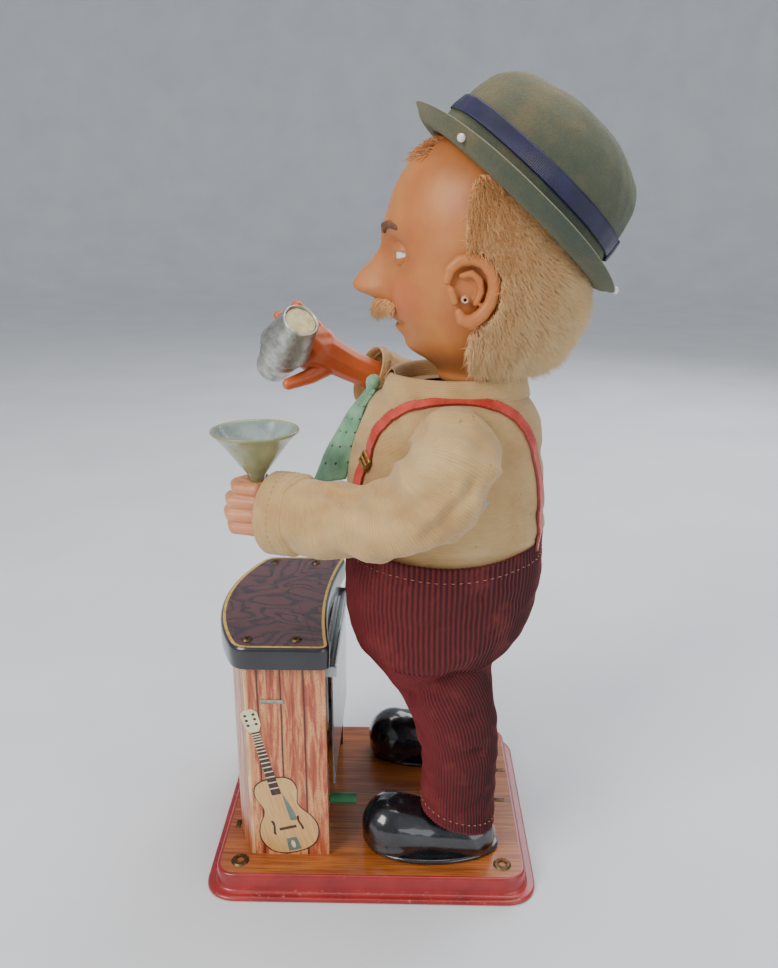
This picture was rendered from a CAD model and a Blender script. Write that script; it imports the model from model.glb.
"""Battery-operated tin bartender behind his bar: the looks of every piece.

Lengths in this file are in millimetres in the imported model's frame (+Z up, the figure faces -Y,
his left hand is on the +X side). piece() turns them into metres.
"""
import math

import bmesh
import bpy
import numpy as np
from mathutils import Matrix, Vector
from mathutils.bvhtree import BVHTree


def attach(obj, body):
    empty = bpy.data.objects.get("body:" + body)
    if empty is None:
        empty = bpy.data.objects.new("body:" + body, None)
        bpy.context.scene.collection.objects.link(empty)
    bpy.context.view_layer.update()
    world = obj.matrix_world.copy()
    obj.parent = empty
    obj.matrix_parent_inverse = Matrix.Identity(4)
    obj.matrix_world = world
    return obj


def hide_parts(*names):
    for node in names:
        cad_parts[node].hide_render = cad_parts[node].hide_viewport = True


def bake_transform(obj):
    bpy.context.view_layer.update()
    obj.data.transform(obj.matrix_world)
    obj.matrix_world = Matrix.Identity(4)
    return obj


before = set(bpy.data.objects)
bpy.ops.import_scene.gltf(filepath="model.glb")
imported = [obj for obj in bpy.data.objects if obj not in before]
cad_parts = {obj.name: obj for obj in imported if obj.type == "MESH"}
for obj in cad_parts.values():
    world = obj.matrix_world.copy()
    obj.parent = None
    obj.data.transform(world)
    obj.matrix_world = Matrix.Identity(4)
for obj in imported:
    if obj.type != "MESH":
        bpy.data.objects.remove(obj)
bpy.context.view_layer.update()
MM = 0.001
UP = np.array([0.0, 0.0, 1.0])


# ---------------------------------------------------------------- camera, stage and light

CAMERA_AT = (324.8, 13.5, 253.0)
CAMERA_PITCH = math.radians(17.6)
CAMERA_YAW = math.radians(1.3)
LENS_MM = 32.73


def make_camera():
    """The view from the figure's left side, a little above the counter."""
    data = bpy.data.cameras.new("side_view")
    data.lens = LENS_MM
    data.clip_start = 0.01
    data.clip_end = 60
    camera = bpy.data.objects.new("side_view", data)
    bpy.context.scene.collection.objects.link(camera)
    level = math.cos(CAMERA_PITCH)
    forward = Vector((-math.cos(CAMERA_YAW) * level, -math.sin(CAMERA_YAW) * level,
                      -math.sin(CAMERA_PITCH)))
    camera.location = Vector(CAMERA_AT) * MM
    camera.rotation_mode = "QUATERNION"
    camera.rotation_quaternion = forward.to_track_quat("-Z", "Y")
    bpy.context.scene.camera = camera


def area_light(name, place, target, size, power, colour):
    """A soft square light that looks at target; all in metres and watts."""
    data = bpy.data.lights.new(name, "AREA")
    data.shape = "SQUARE"
    data.size = size
    data.energy = power
    data.color = colour
    lamp = bpy.data.objects.new(name, data)
    bpy.context.scene.collection.objects.link(lamp)
    lamp.location = place
    lamp.rotation_mode = "QUATERNION"
    lamp.rotation_quaternion = (Vector(target) - Vector(place)).to_track_quat("-Z", "Y")


def make_light():
    """A large key from the camera's left, a weaker fill from its right and a top light."""
    world = bpy.data.worlds.new("studio")
    world.use_nodes = True
    background = world.node_tree.nodes["Background"]
    background.inputs["Color"].default_value = (0.80, 0.84, 0.90, 1)
    background.inputs["Strength"].default_value = 0.52
    bpy.context.scene.world = world
    chest = (0, 0.01, 0.16)
    area_light("key", (0.75, -0.75, 0.85), chest, 0.6, 13, (1.0, 0.97, 0.93))
    area_light("fill", (0.95, 0.75, 0.45), chest, 0.8, 4.5, (0.93, 0.96, 1.0))
    area_light("top", (-0.05, 0.15, 1.15), chest, 0.7, 7, (1.0, 0.99, 0.97))
    area_light("rim", (-0.8, 0.5, 0.7), chest, 0.6, 5, (0.9, 0.94, 1.0))


# ---------------------------------------------------------------- materials

def linear(colour):
    """An sRGB colour of 0 to 255 as Blender's linear RGBA."""
    parts = [c / 255 for c in colour]
    return tuple(c / 12.92 if c <= 0.04045 else ((c + 0.055) / 1.055) ** 2.4 for c in parts) + (1.0,)


class Paint:
    """A procedural material, built by short calls. Texture places are in millimetres."""

    def __init__(self, name, rough=0.5, **sockets):
        self.material = bpy.data.materials.new(name)
        self.material.use_nodes = True
        self.tree = self.material.node_tree
        self.shader = next(n for n in self.tree.nodes if n.type == "BSDF_PRINCIPLED")
        self.shader.inputs["Roughness"].default_value = rough
        for key, value in sockets.items():
            self.shader.inputs[key.replace("_", " ")].default_value = value

    def node(self, kind, inputs=None, **settings):
        made = self.tree.nodes.new("ShaderNode" + kind)
        for key, value in settings.items():
            setattr(made, key, value)
        for key, value in (inputs or {}).items():
            socket = made.inputs[key]
            if isinstance(value, bpy.types.NodeSocket):
                self.tree.links.new(value, socket)
            else:
                socket.default_value = value
        return made

    def place(self, stretch=(1, 1, 1), turn=(0, 0, 0)):
        """The rest place, stretched along the axes; texture scales are then per millimetre."""
        coords = self.node("TexCoord").outputs["Object"]
        scale = [s / MM for s in stretch]
        mapped = self.node("Mapping", {"Vector": coords, "Scale": scale, "Rotation": turn})
        return mapped.outputs["Vector"]

    def cloth(self, stretch=(1, 1, 1), turn=0.0):
        """Where a point lies on the flat cloth or sheet, in millimetres."""
        coords = self.node("UVMap", uv_map="cloth").outputs["UV"]
        mapped = self.node("Mapping", {"Vector": coords, "Scale": stretch, "Rotation": (0, 0, turn)})
        return mapped.outputs["Vector"]

    def axis(self, vector, letter):
        return self.node("SeparateXYZ", {"Vector": vector}).outputs[letter]

    def noise(self, vector, size, detail=2.0, rough=0.5, twist=0.0):
        inputs = {"Vector": vector, "Scale": 1 / size, "Detail": detail, "Roughness": rough,
                  "Distortion": twist}
        return self.node("TexNoise", inputs).outputs[0]

    def wave(self, vector, size, twist=0.0, detail=2.0, axis="X", rings=False, shape="SIN"):
        """Bands or rings that repeat about every size millimetres."""
        inputs = {"Vector": vector, "Scale": 0.314 / size, "Distortion": twist, "Detail": detail}
        kind = {"wave_type": "RINGS" if rings else "BANDS", "wave_profile": shape}
        kind["rings_direction" if rings else "bands_direction"] = axis
        return self.node("TexWave", inputs, **kind).outputs["Fac"]

    def cells(self, vector, size, feature="F1"):
        made = self.node("TexVoronoi", {"Vector": vector, "Scale": 1 / size}, feature=feature)
        return made.outputs["Distance"]

    def island(self):
        return self.node("NewGeometry").outputs["Random Per Island"]

    def ramp(self, factor, *stops):
        """A colour from (place, colour) stops."""
        made = self.node("ValToRGB", {"Fac": factor})
        band = made.color_ramp.elements
        while len(band) < len(stops):
            band.new(0.5)
        for element, (place, colour) in zip(band, stops):
            element.position = place
            element.color = linear(colour)
        return made.outputs["Color"]

    def step(self, value, low, high, start=0.0, end=1.0):
        """A number that goes from start to end as value goes from low to high."""
        inputs = {"Value": value, "From Min": low, "From Max": high, "To Min": start, "To Max": end}
        return self.node("MapRange", inputs).outputs["Result"]

    def calc(self, operation, a, b=0.0):
        made = self.node("Math", operation=operation)
        for socket, value in zip(made.inputs, (a, b)):
            if isinstance(value, bpy.types.NodeSocket):
                self.tree.links.new(value, socket)
            else:
                socket.default_value = value
        return made.outputs["Value"]

    def mix(self, factor, a, b, blend="MIX"):
        made = self.node("Mix", data_type="RGBA", blend_type=blend)
        for index, value in ((0, factor), (6, a), (7, b)):
            if isinstance(value, bpy.types.NodeSocket):
                self.tree.links.new(value, made.inputs[index])
            elif index == 0:
                made.inputs[index].default_value = value
            else:
                made.inputs[index].default_value = linear(value)
        return made.outputs[2]

    def set(self, socket, value):
        self.tree.links.new(value, self.shader.inputs[socket])
        return self

    def colour(self, value):
        return self.set("Base Color", value)

    def rough(self, factor, low, high):
        return self.set("Roughness", self.step(factor, 0, 1, low, high))

    def bump(self, height, depth, strength=1.0):
        """Raises the surface by up to depth millimetres where height is 1."""
        inputs = {"Height": height, "Distance": depth * MM, "Strength": strength}
        old = self.shader.inputs["Normal"].links
        if old:
            inputs["Normal"] = old[0].from_socket
        return self.set("Normal", self.node("Bump", inputs).outputs["Normal"])


PAINTS = {}


def paint(maker):
    """Makes each material once, when it is first asked for."""
    if maker.__name__ not in PAINTS:
        PAINTS[maker.__name__] = maker().material
    return PAINTS[maker.__name__]


def floor_white():
    p = Paint("floor_white", rough=0.62)
    p.colour(p.ramp(p.noise(p.place(), 90, 3), (0.3, (216, 219, 223)), (0.7, (224, 226, 229))))
    return p


def deck_wood():
    """Lithographed orange-brown wood grain that runs from front to back."""
    p = Paint("deck_wood", Coat_Weight=0.5, Coat_Roughness=0.18, Specular_IOR_Level=0.5)
    where = p.place((1, 0.07, 1))
    grain = p.noise(where, 3.2, 6, 0.62, 0.5)
    tint = p.ramp(grain, (0.28, (104, 48, 18)), (0.45, (150, 76, 28)), (0.6, (176, 96, 38)),
                  (0.78, (196, 118, 54)))
    fine = p.ramp(p.noise(p.place((1, 0.03, 1)), 0.7, 3), (0.42, (96, 44, 16)), (0.6, (205, 128, 62)))
    body = p.mix(0.3, tint, fine)
    speck = p.step(p.noise(p.place(), 1.1, 4, 0.7), 0.70, 0.74)
    p.colour(p.mix(speck, body, (60, 34, 20)))
    p.rough(grain, 0.26, 0.42)
    return p.bump(grain, 0.05)


def rim_red():
    """Red enamel, scuffed down to the undercoat on the flange."""
    p = Paint("rim_red", Coat_Weight=0.4, Coat_Roughness=0.25)
    cloud = p.noise(p.place(), 14, 4)
    red = p.ramp(cloud, (0.3, (128, 18, 22)), (0.7, (166, 36, 34)))
    scuffs = p.step(p.noise(p.place((1, 1, 2.5)), 2.0, 6, 0.72), 0.60, 0.68)
    low = p.step(p.axis(p.place(), "Z"), 3.4, 1.2)
    worn = p.calc("MULTIPLY", scuffs, p.calc("ADD", p.calc("MULTIPLY", low, 0.75), 0.12))
    p.colour(p.mix(worn, red, (214, 150, 132)))
    p.rough(worn, 0.3, 0.62)
    return p.bump(p.noise(p.place(), 1.5, 3), 0.04)


def plank_print():
    """Printed planks: dark joints, speckled pale and red-brown grain. U runs round the case."""
    p = Paint("plank_print", Coat_Weight=0.35, Coat_Roughness=0.22)
    flat = p.cloth()
    streak = p.noise(p.cloth((1, 0.10, 1)), 2.2, 5, 0.66, 0.8)
    tint = p.ramp(streak, (0.34, (140, 58, 38)), (0.46, (176, 88, 56)), (0.55, (206, 138, 88)),
                  (0.7, (222, 168, 112)))
    dots = p.step(p.noise(flat, 0.75, 3, 0.6), 0.56, 0.62)
    tint = p.mix(p.calc("MULTIPLY", dots, 0.55), tint, (150, 66, 42))
    across = p.axis(p.cloth(), "X")
    wobble = p.calc("MULTIPLY", p.noise(p.cloth((0.3, 0.08, 1)), 2.0), 0.6)
    phase = p.calc("PINGPONG", p.calc("ADD", across, wobble), PLANK_W / 2)
    joint = p.step(phase, 0.55, 0.15)
    p.colour(p.mix(joint, tint, (74, 26, 20)))
    p.rough(streak, 0.3, 0.42)
    return p.bump(joint, -0.05)


def edge_cream():
    p = Paint("edge_cream", Coat_Weight=0.3, Coat_Roughness=0.25)
    grain = p.noise(p.place((1, 1, 0.12)), 1.6, 4)
    p.colour(p.ramp(grain, (0.35, (196, 140, 92)), (0.6, (232, 196, 146))))
    p.rough(grain, 0.32, 0.45)
    return p


def counter_grain():
    """Dark purple-brown wood with cathedral grain, printed on tin."""
    p = Paint("counter_grain", Coat_Weight=0.6, Coat_Roughness=0.12)
    bend = p.noise(p.place((1, 0.7, 1)), 19, 1.5, 0.5, 0.5)
    ripples = p.noise(p.place((1, 0.6, 1)), 3.0, 2, 0.5)
    arches = p.calc("PINGPONG", p.calc("ADD", p.calc("MULTIPLY", bend, 20),
                                       p.calc("MULTIPLY", ripples, 0.9)), 1.0)
    tint = p.ramp(arches, (0.05, (30, 14, 18)), (0.17, (60, 27, 31)), (0.6, (80, 38, 40)),
                  (1.0, (90, 45, 44)))
    speck = p.step(p.noise(p.place(), 0.8, 3, 0.6), 0.62, 0.7)
    p.colour(p.mix(p.calc("MULTIPLY", speck, 0.4), tint, (44, 20, 24)))
    p.rough(arches, 0.24, 0.36)
    return p


def gold_line():
    p = Paint("gold_line", Coat_Weight=0.4, Coat_Roughness=0.2)
    worn = p.noise(p.place(), 1.6, 5, 0.7)
    p.colour(p.ramp(worn, (0.30, (120, 84, 28)), (0.44, (198, 156, 52)), (0.7, (222, 184, 84))))
    p.rough(worn, 0.42, 0.28)
    return p


def black_enamel():
    p = Paint("black_enamel", Coat_Weight=0.7, Coat_Roughness=0.1)
    cloud = p.noise(p.place(), 9, 4)
    chips = p.step(p.noise(p.place(), 1.3, 5, 0.7), 0.70, 0.74)
    tint = p.ramp(cloud, (0.3, (16, 16, 22)), (0.7, (28, 28, 36)))
    p.colour(p.mix(chips, tint, (92, 78, 66)))
    p.rough(cloud, 0.26, 0.38)
    return p.bump(chips, -0.04)


def metal(name, dark, light, low=0.28, high=0.5, brushed=(1, 1, 1), size=2.0):
    """Bare or plated metal with a little tarnish."""
    p = Paint(name, Metallic=1.0)
    tarnish = p.noise(p.place(brushed), size, 5, 0.6)
    p.colour(p.ramp(tarnish, (0.3, dark), (0.7, light)))
    p.rough(tarnish, high, low)
    return p.bump(p.noise(p.place(brushed), size * 0.2, 2), 0.02)


def plain_steel():
    return metal("plain_steel", (128, 128, 132), (186, 187, 190), 0.25, 0.45, (1, 1, 0.15))


def brass():
    return metal("brass", (112, 84, 42), (190, 156, 92), 0.3, 0.5)


def aged_eyelet():
    return metal("aged_eyelet", (56, 44, 36), (138, 112, 78), 0.35, 0.6, size=0.9)


def dull_aluminium():
    """Spun aluminium, dull and speckled with age."""
    p = metal("dull_aluminium", (150, 148, 140), (206, 205, 197), 0.36, 0.52, size=3.0)
    spots = p.step(p.noise(p.place(), 0.55, 4, 0.7), 0.6, 0.72)
    return p.bump(spots, -0.03)


def battery_jacket():
    p = Paint("battery_jacket", Metallic=0.5, Coat_Weight=0.4, Coat_Roughness=0.15)
    height = p.axis(p.place(), "Z")
    band = p.step(height, 66, 66.4)
    label = p.ramp(p.noise(p.place(), 8, 3), (0.3, (34, 36, 62)), (0.7, (52, 54, 84)))
    p.colour(p.mix(band, label, (176, 132, 70)))
    p.rough(p.noise(p.place(), 3, 3), 0.25, 0.4)
    return p


def fibre_board():
    p = Paint("fibre_board", rough=0.8)
    fibres = p.noise(p.place((0.3, 1, 1)), 0.8, 5, 0.7)
    p.colour(p.ramp(fibres, (0.3, (70, 48, 30)), (0.7, (112, 80, 52))))
    p.rough(fibres, 0.7, 0.9)
    return p.bump(fibres, 0.06)


def clear_sheet():
    p = Paint("clear_sheet", rough=0.12, IOR=1.45, Transmission_Weight=0.92)
    haze = p.noise(p.place(), 12, 4)
    p.colour(p.ramp(haze, (0.3, (206, 220, 216)), (0.7, (230, 236, 232))))
    p.rough(haze, 0.06, 0.22)
    return p


def moulded(name, dark, light, low=0.3, high=0.45, size=6.0, **sockets):
    """Moulded plastic: a cloudy colour and a slight orange peel."""
    p = Paint(name, **sockets)
    cloud = p.noise(p.place(), size, 4)
    p.colour(p.ramp(cloud, (0.3, dark), (0.7, light)))
    p.rough(cloud, low, high)
    return p.bump(p.noise(p.place(), 0.9, 2), 0.02)


def green_plastic():
    return moulded("green_plastic", (36, 104, 60), (62, 140, 84), 0.25, 0.4)


def tube_plastic():
    return moulded("tube_plastic", (196, 150, 110), (226, 190, 152), 0.3, 0.5, 2.0)


def red_vinyl():
    """Red strap vinyl with a fine pressed grain and darker edges."""
    p = Paint("red_vinyl", Coat_Weight=0.25, Coat_Roughness=0.3)
    cloud = p.noise(p.place(), 5, 4)
    red = p.ramp(cloud, (0.3, (170, 44, 34)), (0.7, (212, 74, 58)))
    edge = p.step(p.calc("ABSOLUTE", p.axis(p.cloth(), "X")), 1.7, 2.1)
    p.colour(p.mix(p.calc("MULTIPLY", edge, 0.6), red, (120, 26, 22)))
    p.rough(cloud, 0.36, 0.5)
    return p.bump(p.cells(p.place(), 0.5), 0.05)


def shoe_black():
    p = Paint("shoe_black", Coat_Weight=1.0, Coat_Roughness=0.06)
    dust = p.noise(p.place(), 7, 5, 0.6)
    p.colour(p.ramp(dust, (0.35, (10, 10, 14)), (0.75, (26, 26, 32))))
    p.rough(dust, 0.2, 0.34)
    return p.bump(p.noise(p.place(), 2.4, 3), 0.05)


def corduroy():
    """Maroon pile: bright ridges, dark valleys and rubbed patches."""
    p = Paint("corduroy", rough=0.85, Sheen_Weight=0.35, Sheen_Roughness=0.45)
    p.shader.inputs["Sheen Tint"].default_value = linear((220, 110, 105))
    u = p.axis(p.cloth(), "X")
    ridge = p.calc("SINE", p.calc("MULTIPLY", u, 2 * math.pi / WALE))
    worn = p.noise(p.place(), 11, 4, 0.6)
    fuzz = p.noise(p.place(), 0.45, 3, 0.7)
    pile = p.ramp(p.step(ridge, -1, 1), (0.0, (28, 3, 7)), (0.35, (66, 8, 15)), (1.0, (112, 24, 28)))
    rubbed = p.mix(p.step(worn, 0.52, 0.74, 0, 0.5), pile, (134, 52, 48))
    p.colour(p.mix(p.step(fuzz, 0.35, 0.75, 0, 0.35), rubbed, (70, 10, 16)))
    p.rough(fuzz, 0.78, 0.95)
    return p.bump(fuzz, 0.12)


def thread(name, colour_a, colour_b):
    p = Paint(name, rough=0.8, Sheen_Weight=0.2)
    twist = p.noise(p.place(), 0.3, 2)
    p.colour(p.ramp(twist, (0.3, colour_a), (0.7, colour_b)))
    p.rough(twist, 0.7, 0.9)
    return p.bump(twist, 0.05)


def stitch_thread():
    return thread("stitch_thread", (168, 110, 90), (204, 150, 124))


def shirt_thread():
    return thread("shirt_thread", (160, 122, 74), (204, 168, 116))


def shirt_cotton():
    """Ribbed cream cotton with faint stains."""
    p = Paint("shirt_cotton", rough=0.82, Sheen_Weight=0.22, Sheen_Roughness=0.5)
    ribs = p.wave(p.cloth(), 0.55, 0.8, 1.0, "Y")
    weft = p.wave(p.cloth(), 0.42, 1.0, 1.0, "X")
    slub = p.noise(p.cloth((0.25, 2.5, 1)), 1.6, 4, 0.65)
    aged = p.noise(p.place(), 21, 4, 0.6)
    base = p.ramp(aged, (0.3, (186, 144, 88)), (0.55, (207, 171, 114)), (0.75, (217, 184, 130)))
    base = p.mix(p.step(slub, 0.3, 0.75, 0.0, 0.35), base, (168, 126, 76))
    base = p.mix(p.step(ribs, 0, 1, 0.22, 0.0), base, (140, 100, 58))
    spots = p.step(p.noise(p.place(), 2.6, 2, 0.4), 0.74, 0.77)
    p.colour(p.mix(p.calc("MULTIPLY", spots, 0.5), base, (120, 80, 46)))
    p.rough(slub, 0.75, 0.92)
    p.bump(ribs, 0.09)
    return p.bump(weft, 0.04)


def tie_cloth():
    """Green satin with small dark dots in a staggered grid."""
    p = Paint("tie_cloth", rough=0.55, Sheen_Weight=0.3, Sheen_Roughness=0.4)
    weave = p.wave(p.cloth(), 0.4, 0.3, 1.0, "Y")
    cloud = p.noise(p.place(), 6, 3)
    base = p.ramp(cloud, (0.3, (96, 146, 110)), (0.7, (138, 184, 146)))
    u = p.axis(p.cloth(), "X")
    v = p.axis(p.cloth(), "Y")
    near_u = p.calc("SUBTRACT", p.calc("PINGPONG", p.calc("ADD", u, 61.0), 5.0), 2.5)
    near_v = p.calc("SUBTRACT", p.calc("PINGPONG", v, 6.4), 3.2)
    away = p.calc("ADD", p.calc("POWER", near_u, 2.0), p.calc("POWER", near_v, 2.0))
    p.colour(p.mix(p.step(away, 0.34, 0.2), base, (60, 36, 50)))
    p.rough(weave, 0.5, 0.66)
    return p.bump(weave, 0.04)


def vinyl(name, deep, light):
    """Soft vinyl with a warm depth and a slight uneven shine."""
    p = Paint(name, Subsurface_Weight=0.12, Subsurface_Scale=0.003, Coat_Weight=0.12, Coat_Roughness=0.35)
    cloud = p.noise(p.place(), 13, 4, 0.55)
    p.colour(p.ramp(cloud, (0.25, deep), (0.75, light)))
    p.rough(p.noise(p.place(), 5, 3), 0.36, 0.5)
    return p.bump(p.noise(p.place(), 0.7, 2), 0.02)


def face_vinyl():
    """Tan vinyl with blushed cheeks and painted lips."""
    p = Paint("face_vinyl", Subsurface_Weight=0.12, Subsurface_Scale=0.003, Coat_Weight=0.1,
              Coat_Roughness=0.35)
    cloud = p.noise(p.place(), 15, 4, 0.55)
    base = p.ramp(cloud, (0.25, (176, 100, 46)), (0.75, (200, 128, 66)))
    where = p.place()
    side = p.calc("ABSOLUTE", p.axis(where, "X"))
    depth = p.axis(where, "Y")
    height = p.axis(where, "Z")

    def spot(x, y, z, wide, deep, tall):
        """1 at the middle of a soft-edged spot on both halves of the face."""
        parts = [p.calc("POWER", p.calc("DIVIDE", p.calc("SUBTRACT", a, b), c), 2.0)
                 for a, b, c in ((side, x, wide), (depth, y, deep), (height, z, tall))]
        return p.step(p.calc("ADD", p.calc("ADD", parts[0], parts[1]), parts[2]), 1.0, 0.0)

    blush = p.calc("MULTIPLY", spot(*CHEEK, 12, 16, 10), 0.45)
    lips = p.calc("MINIMUM", p.calc("MULTIPLY", spot(0, *LIPS, 7.0, 7, 2.6), 2.5), 1.0)
    skin = p.mix(blush, base, (196, 92, 62))
    p.colour(p.mix(p.calc("MULTIPLY", lips, 0.75), skin, (150, 58, 46)))
    p.rough(p.noise(p.place(), 5, 3), 0.44, 0.6)
    return p.bump(p.noise(p.place(), 0.7, 2), 0.02)


def hand_vinyl():
    return vinyl("hand_vinyl", (196, 122, 80), (226, 156, 112))


def orange_vinyl():
    return vinyl("orange_vinyl", (186, 78, 34), (216, 108, 54))


def eye_paint():
    """White with a grey-green iris and a dark pupil, round each eye's own axis."""
    p = Paint("eye_paint", Coat_Weight=1.0, Coat_Roughness=0.04)
    where = p.place()
    side = p.calc("SUBTRACT", p.calc("ABSOLUTE", p.axis(where, "X")), EYE[0])
    high = p.calc("SUBTRACT", p.axis(where, "Z"), EYE[2])
    away = p.calc("SQRT", p.calc("ADD", p.calc("POWER", side, 2.0), p.calc("POWER", high, 2.0)))
    rings = p.noise(p.place(), 0.6, 3)
    iris = p.ramp(rings, (0.3, (66, 92, 84)), (0.7, (112, 136, 120)))
    white = p.ramp(p.noise(p.place(), 3, 3), (0.3, (226, 220, 206)), (0.7, (240, 236, 226)))
    eye = p.mix(p.step(away, 2.35, 2.2), white, iris)
    p.colour(p.mix(p.step(away, 1.15, 1.0), eye, (14, 12, 12)))
    p.rough(rings, 0.12, 0.2)
    return p


def plush():
    """Golden mohair: darker under the brim, pale at the nape, each strand its own tint."""
    p = Paint("plush", rough=0.75, Sheen_Weight=0.5, Sheen_Roughness=0.35)
    p.shader.inputs["Sheen Tint"].default_value = linear((255, 214, 160))
    height = p.axis(p.place(), "Z")
    depth = p.axis(p.place(), "Y")
    back = p.calc("ADD", p.calc("MULTIPLY", height, -0.006), p.calc("MULTIPLY", depth, 0.006))
    patch = p.calc("MULTIPLY", p.noise(p.place(), 7, 3), 0.42)
    fade = p.calc("ADD", p.calc("ADD", back, 1.42), patch)
    tint = p.ramp(p.calc("ADD", fade, p.calc("MULTIPLY", p.island(), 0.32)),
                  (0.10, (164, 94, 46)), (0.32, (206, 140, 80)), (0.58, (230, 178, 118)),
                  (1.0, (246, 216, 164)))
    p.colour(tint)
    p.rough(p.noise(p.place(), 1, 2), 0.65, 0.85)
    return p


def brow_brown():
    return moulded("brow_brown", (84, 50, 34), (122, 76, 50), 0.5, 0.65, 2.0)


def felt():
    """Grey-green felt, mottled olive where it has faded, with loose fibres."""
    p = Paint("felt", rough=0.95, Sheen_Weight=0.35, Sheen_Roughness=0.6)
    p.shader.inputs["Sheen Tint"].default_value = linear((190, 190, 160))
    faded = p.noise(p.place(), 17, 5, 0.62)
    nap = p.noise(p.place(), 1.0, 4, 0.75)
    top = p.step(p.axis(p.place(), "Z"), 246, 288, -0.12, 0.14)
    base = p.ramp(p.calc("ADD", faded, top), (0.3, (58, 68, 58)), (0.5, (76, 80, 62)), (0.66, (98, 88, 62)),
                  (0.8, (112, 98, 70)))
    base = p.mix(p.step(nap, 0.35, 0.75, 0, 0.4), base, (52, 62, 54))
    lint = p.step(p.noise(p.place(), 0.6, 5, 0.8), 0.64, 0.70)
    p.colour(p.mix(p.calc("MULTIPLY", lint, 0.5), base, (156, 152, 122)))
    p.rough(nap, 0.85, 1.0)
    p.bump(p.noise(p.place(), 0.35, 3, 0.8), 0.2)
    return p.bump(nap, 0.35)


def felt_edge():
    p = Paint("felt_edge", rough=0.95, Sheen_Weight=0.3)
    nap = p.noise(p.place(), 0.6, 4, 0.75)
    p.colour(p.ramp(nap, (0.3, (96, 94, 74)), (0.7, (142, 138, 110))))
    p.rough(nap, 0.85, 1.0)
    return p.bump(nap, 0.15)


def navy_ribbon():
    """Navy grosgrain: fine cross ribs with a silky shine."""
    p = Paint("navy_ribbon", rough=0.4, Sheen_Weight=0.12, Sheen_Roughness=0.3, Anisotropic=0.5)
    ribs = p.wave(p.cloth(), 0.6, 0.0, 0.0, "X")
    cloud = p.noise(p.place(), 8, 3)
    tint = p.ramp(cloud, (0.3, (14, 12, 44)), (0.7, (27, 24, 74)))
    p.colour(p.mix(p.step(ribs, 0, 1, 0.35, 0.0), tint, (14, 12, 44)))
    p.rough(cloud, 0.34, 0.5)
    return p.bump(ribs, 0.08)


def pin_white():
    return moulded("pin_white", (206, 202, 190), (236, 234, 226), 0.15, 0.3, 1.0, Coat_Weight=0.6)


def lamp_glass():
    p = Paint("lamp_glass", rough=0.08, Transmission_Weight=0.8, IOR=1.5)
    haze = p.noise(p.place(), 2, 3)
    p.colour(p.ramp(haze, (0.3, (224, 206, 168)), (0.7, (240, 228, 204))))
    p.rough(haze, 0.05, 0.15)
    return p


def cup_plastic():
    """Translucent yellow-green plastic, blue-grey in its depth."""
    p = Paint("cup_plastic", IOR=1.46, Transmission_Weight=0.55, Coat_Weight=0.4, Coat_Roughness=0.1)
    cloud = p.noise(p.place(), 7, 4)
    outer = p.ramp(cloud, (0.3, (172, 174, 118)), (0.7, (194, 194, 142)))
    inner = p.ramp(cloud, (0.3, (156, 172, 166)), (0.7, (178, 192, 184)))
    p.colour(p.mix(p.node("NewGeometry").outputs["Backfacing"], outer, inner))
    p.rough(cloud, 0.18, 0.32)
    return p.bump(p.noise(p.place((1, 1, 0.1)), 1.2, 2), 0.03)


def cup_inside():
    p = Paint("cup_inside", IOR=1.46, Transmission_Weight=0.35, Coat_Weight=0.3, Coat_Roughness=0.15)
    cloud = p.noise(p.place(), 7, 4)
    p.colour(p.ramp(cloud, (0.3, (132, 152, 152)), (0.7, (170, 186, 180))))
    p.rough(cloud, 0.2, 0.34)
    return p


def cream_disc():
    return moulded("cream_disc", (176, 160, 112), (212, 198, 150), 0.35, 0.5, 3.0)


def bellows_cloth():
    p = Paint("bellows_cloth", rough=0.7)
    weave = p.wave(p.place(), 0.8, 0.6, 1.0, "Z")
    p.colour(p.ramp(p.noise(p.place(), 4, 3), (0.3, (52, 34, 24)), (0.7, (88, 60, 42))))
    p.rough(weave, 0.6, 0.8)
    return p.bump(weave, 0.06)


def guitar_blond():
    """Printed spruce: pale, with a darker sunburst towards the lower edge."""
    p = Paint("guitar_blond", Coat_Weight=0.35, Coat_Roughness=0.2)
    grain = p.noise(p.cloth((1.6, 0.08, 1)), 1.2, 4, 0.6)
    base = p.ramp(grain, (0.3, (196, 148, 84)), (0.7, (224, 184, 122)))
    p.colour(p.mix(p.step(p.noise(p.cloth(), 14, 2), 0.4, 0.7, 0, 0.4), base, (184, 124, 62)))
    p.rough(grain, 0.3, 0.42)
    return p


def guitar_dark():
    return moulded("guitar_dark", (44, 24, 20), (74, 40, 32), 0.3, 0.42, 2.0, Coat_Weight=0.35)


def guitar_cream():
    return moulded("guitar_cream", (206, 196, 150), (226, 218, 180), 0.3, 0.42, 2.0, Coat_Weight=0.35)


def guitar_grey():
    return moulded("guitar_grey", (88, 106, 96), (112, 128, 116), 0.3, 0.42, 3.0, Coat_Weight=0.35)


SLOT_PAINTS = {
    "plain_steel": plain_steel, "brass": brass, "battery": battery_jacket, "fibre_board": fibre_board,
    "clear_sheet": clear_sheet, "green_plastic": green_plastic, "lamp_glass": lamp_glass,
    "bellows_cloth": bellows_cloth,
}


# ---------------------------------------------------------------- shape helpers

def unit(vector):
    vector = np.asarray(vector, float)
    return vector / np.linalg.norm(vector)


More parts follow.
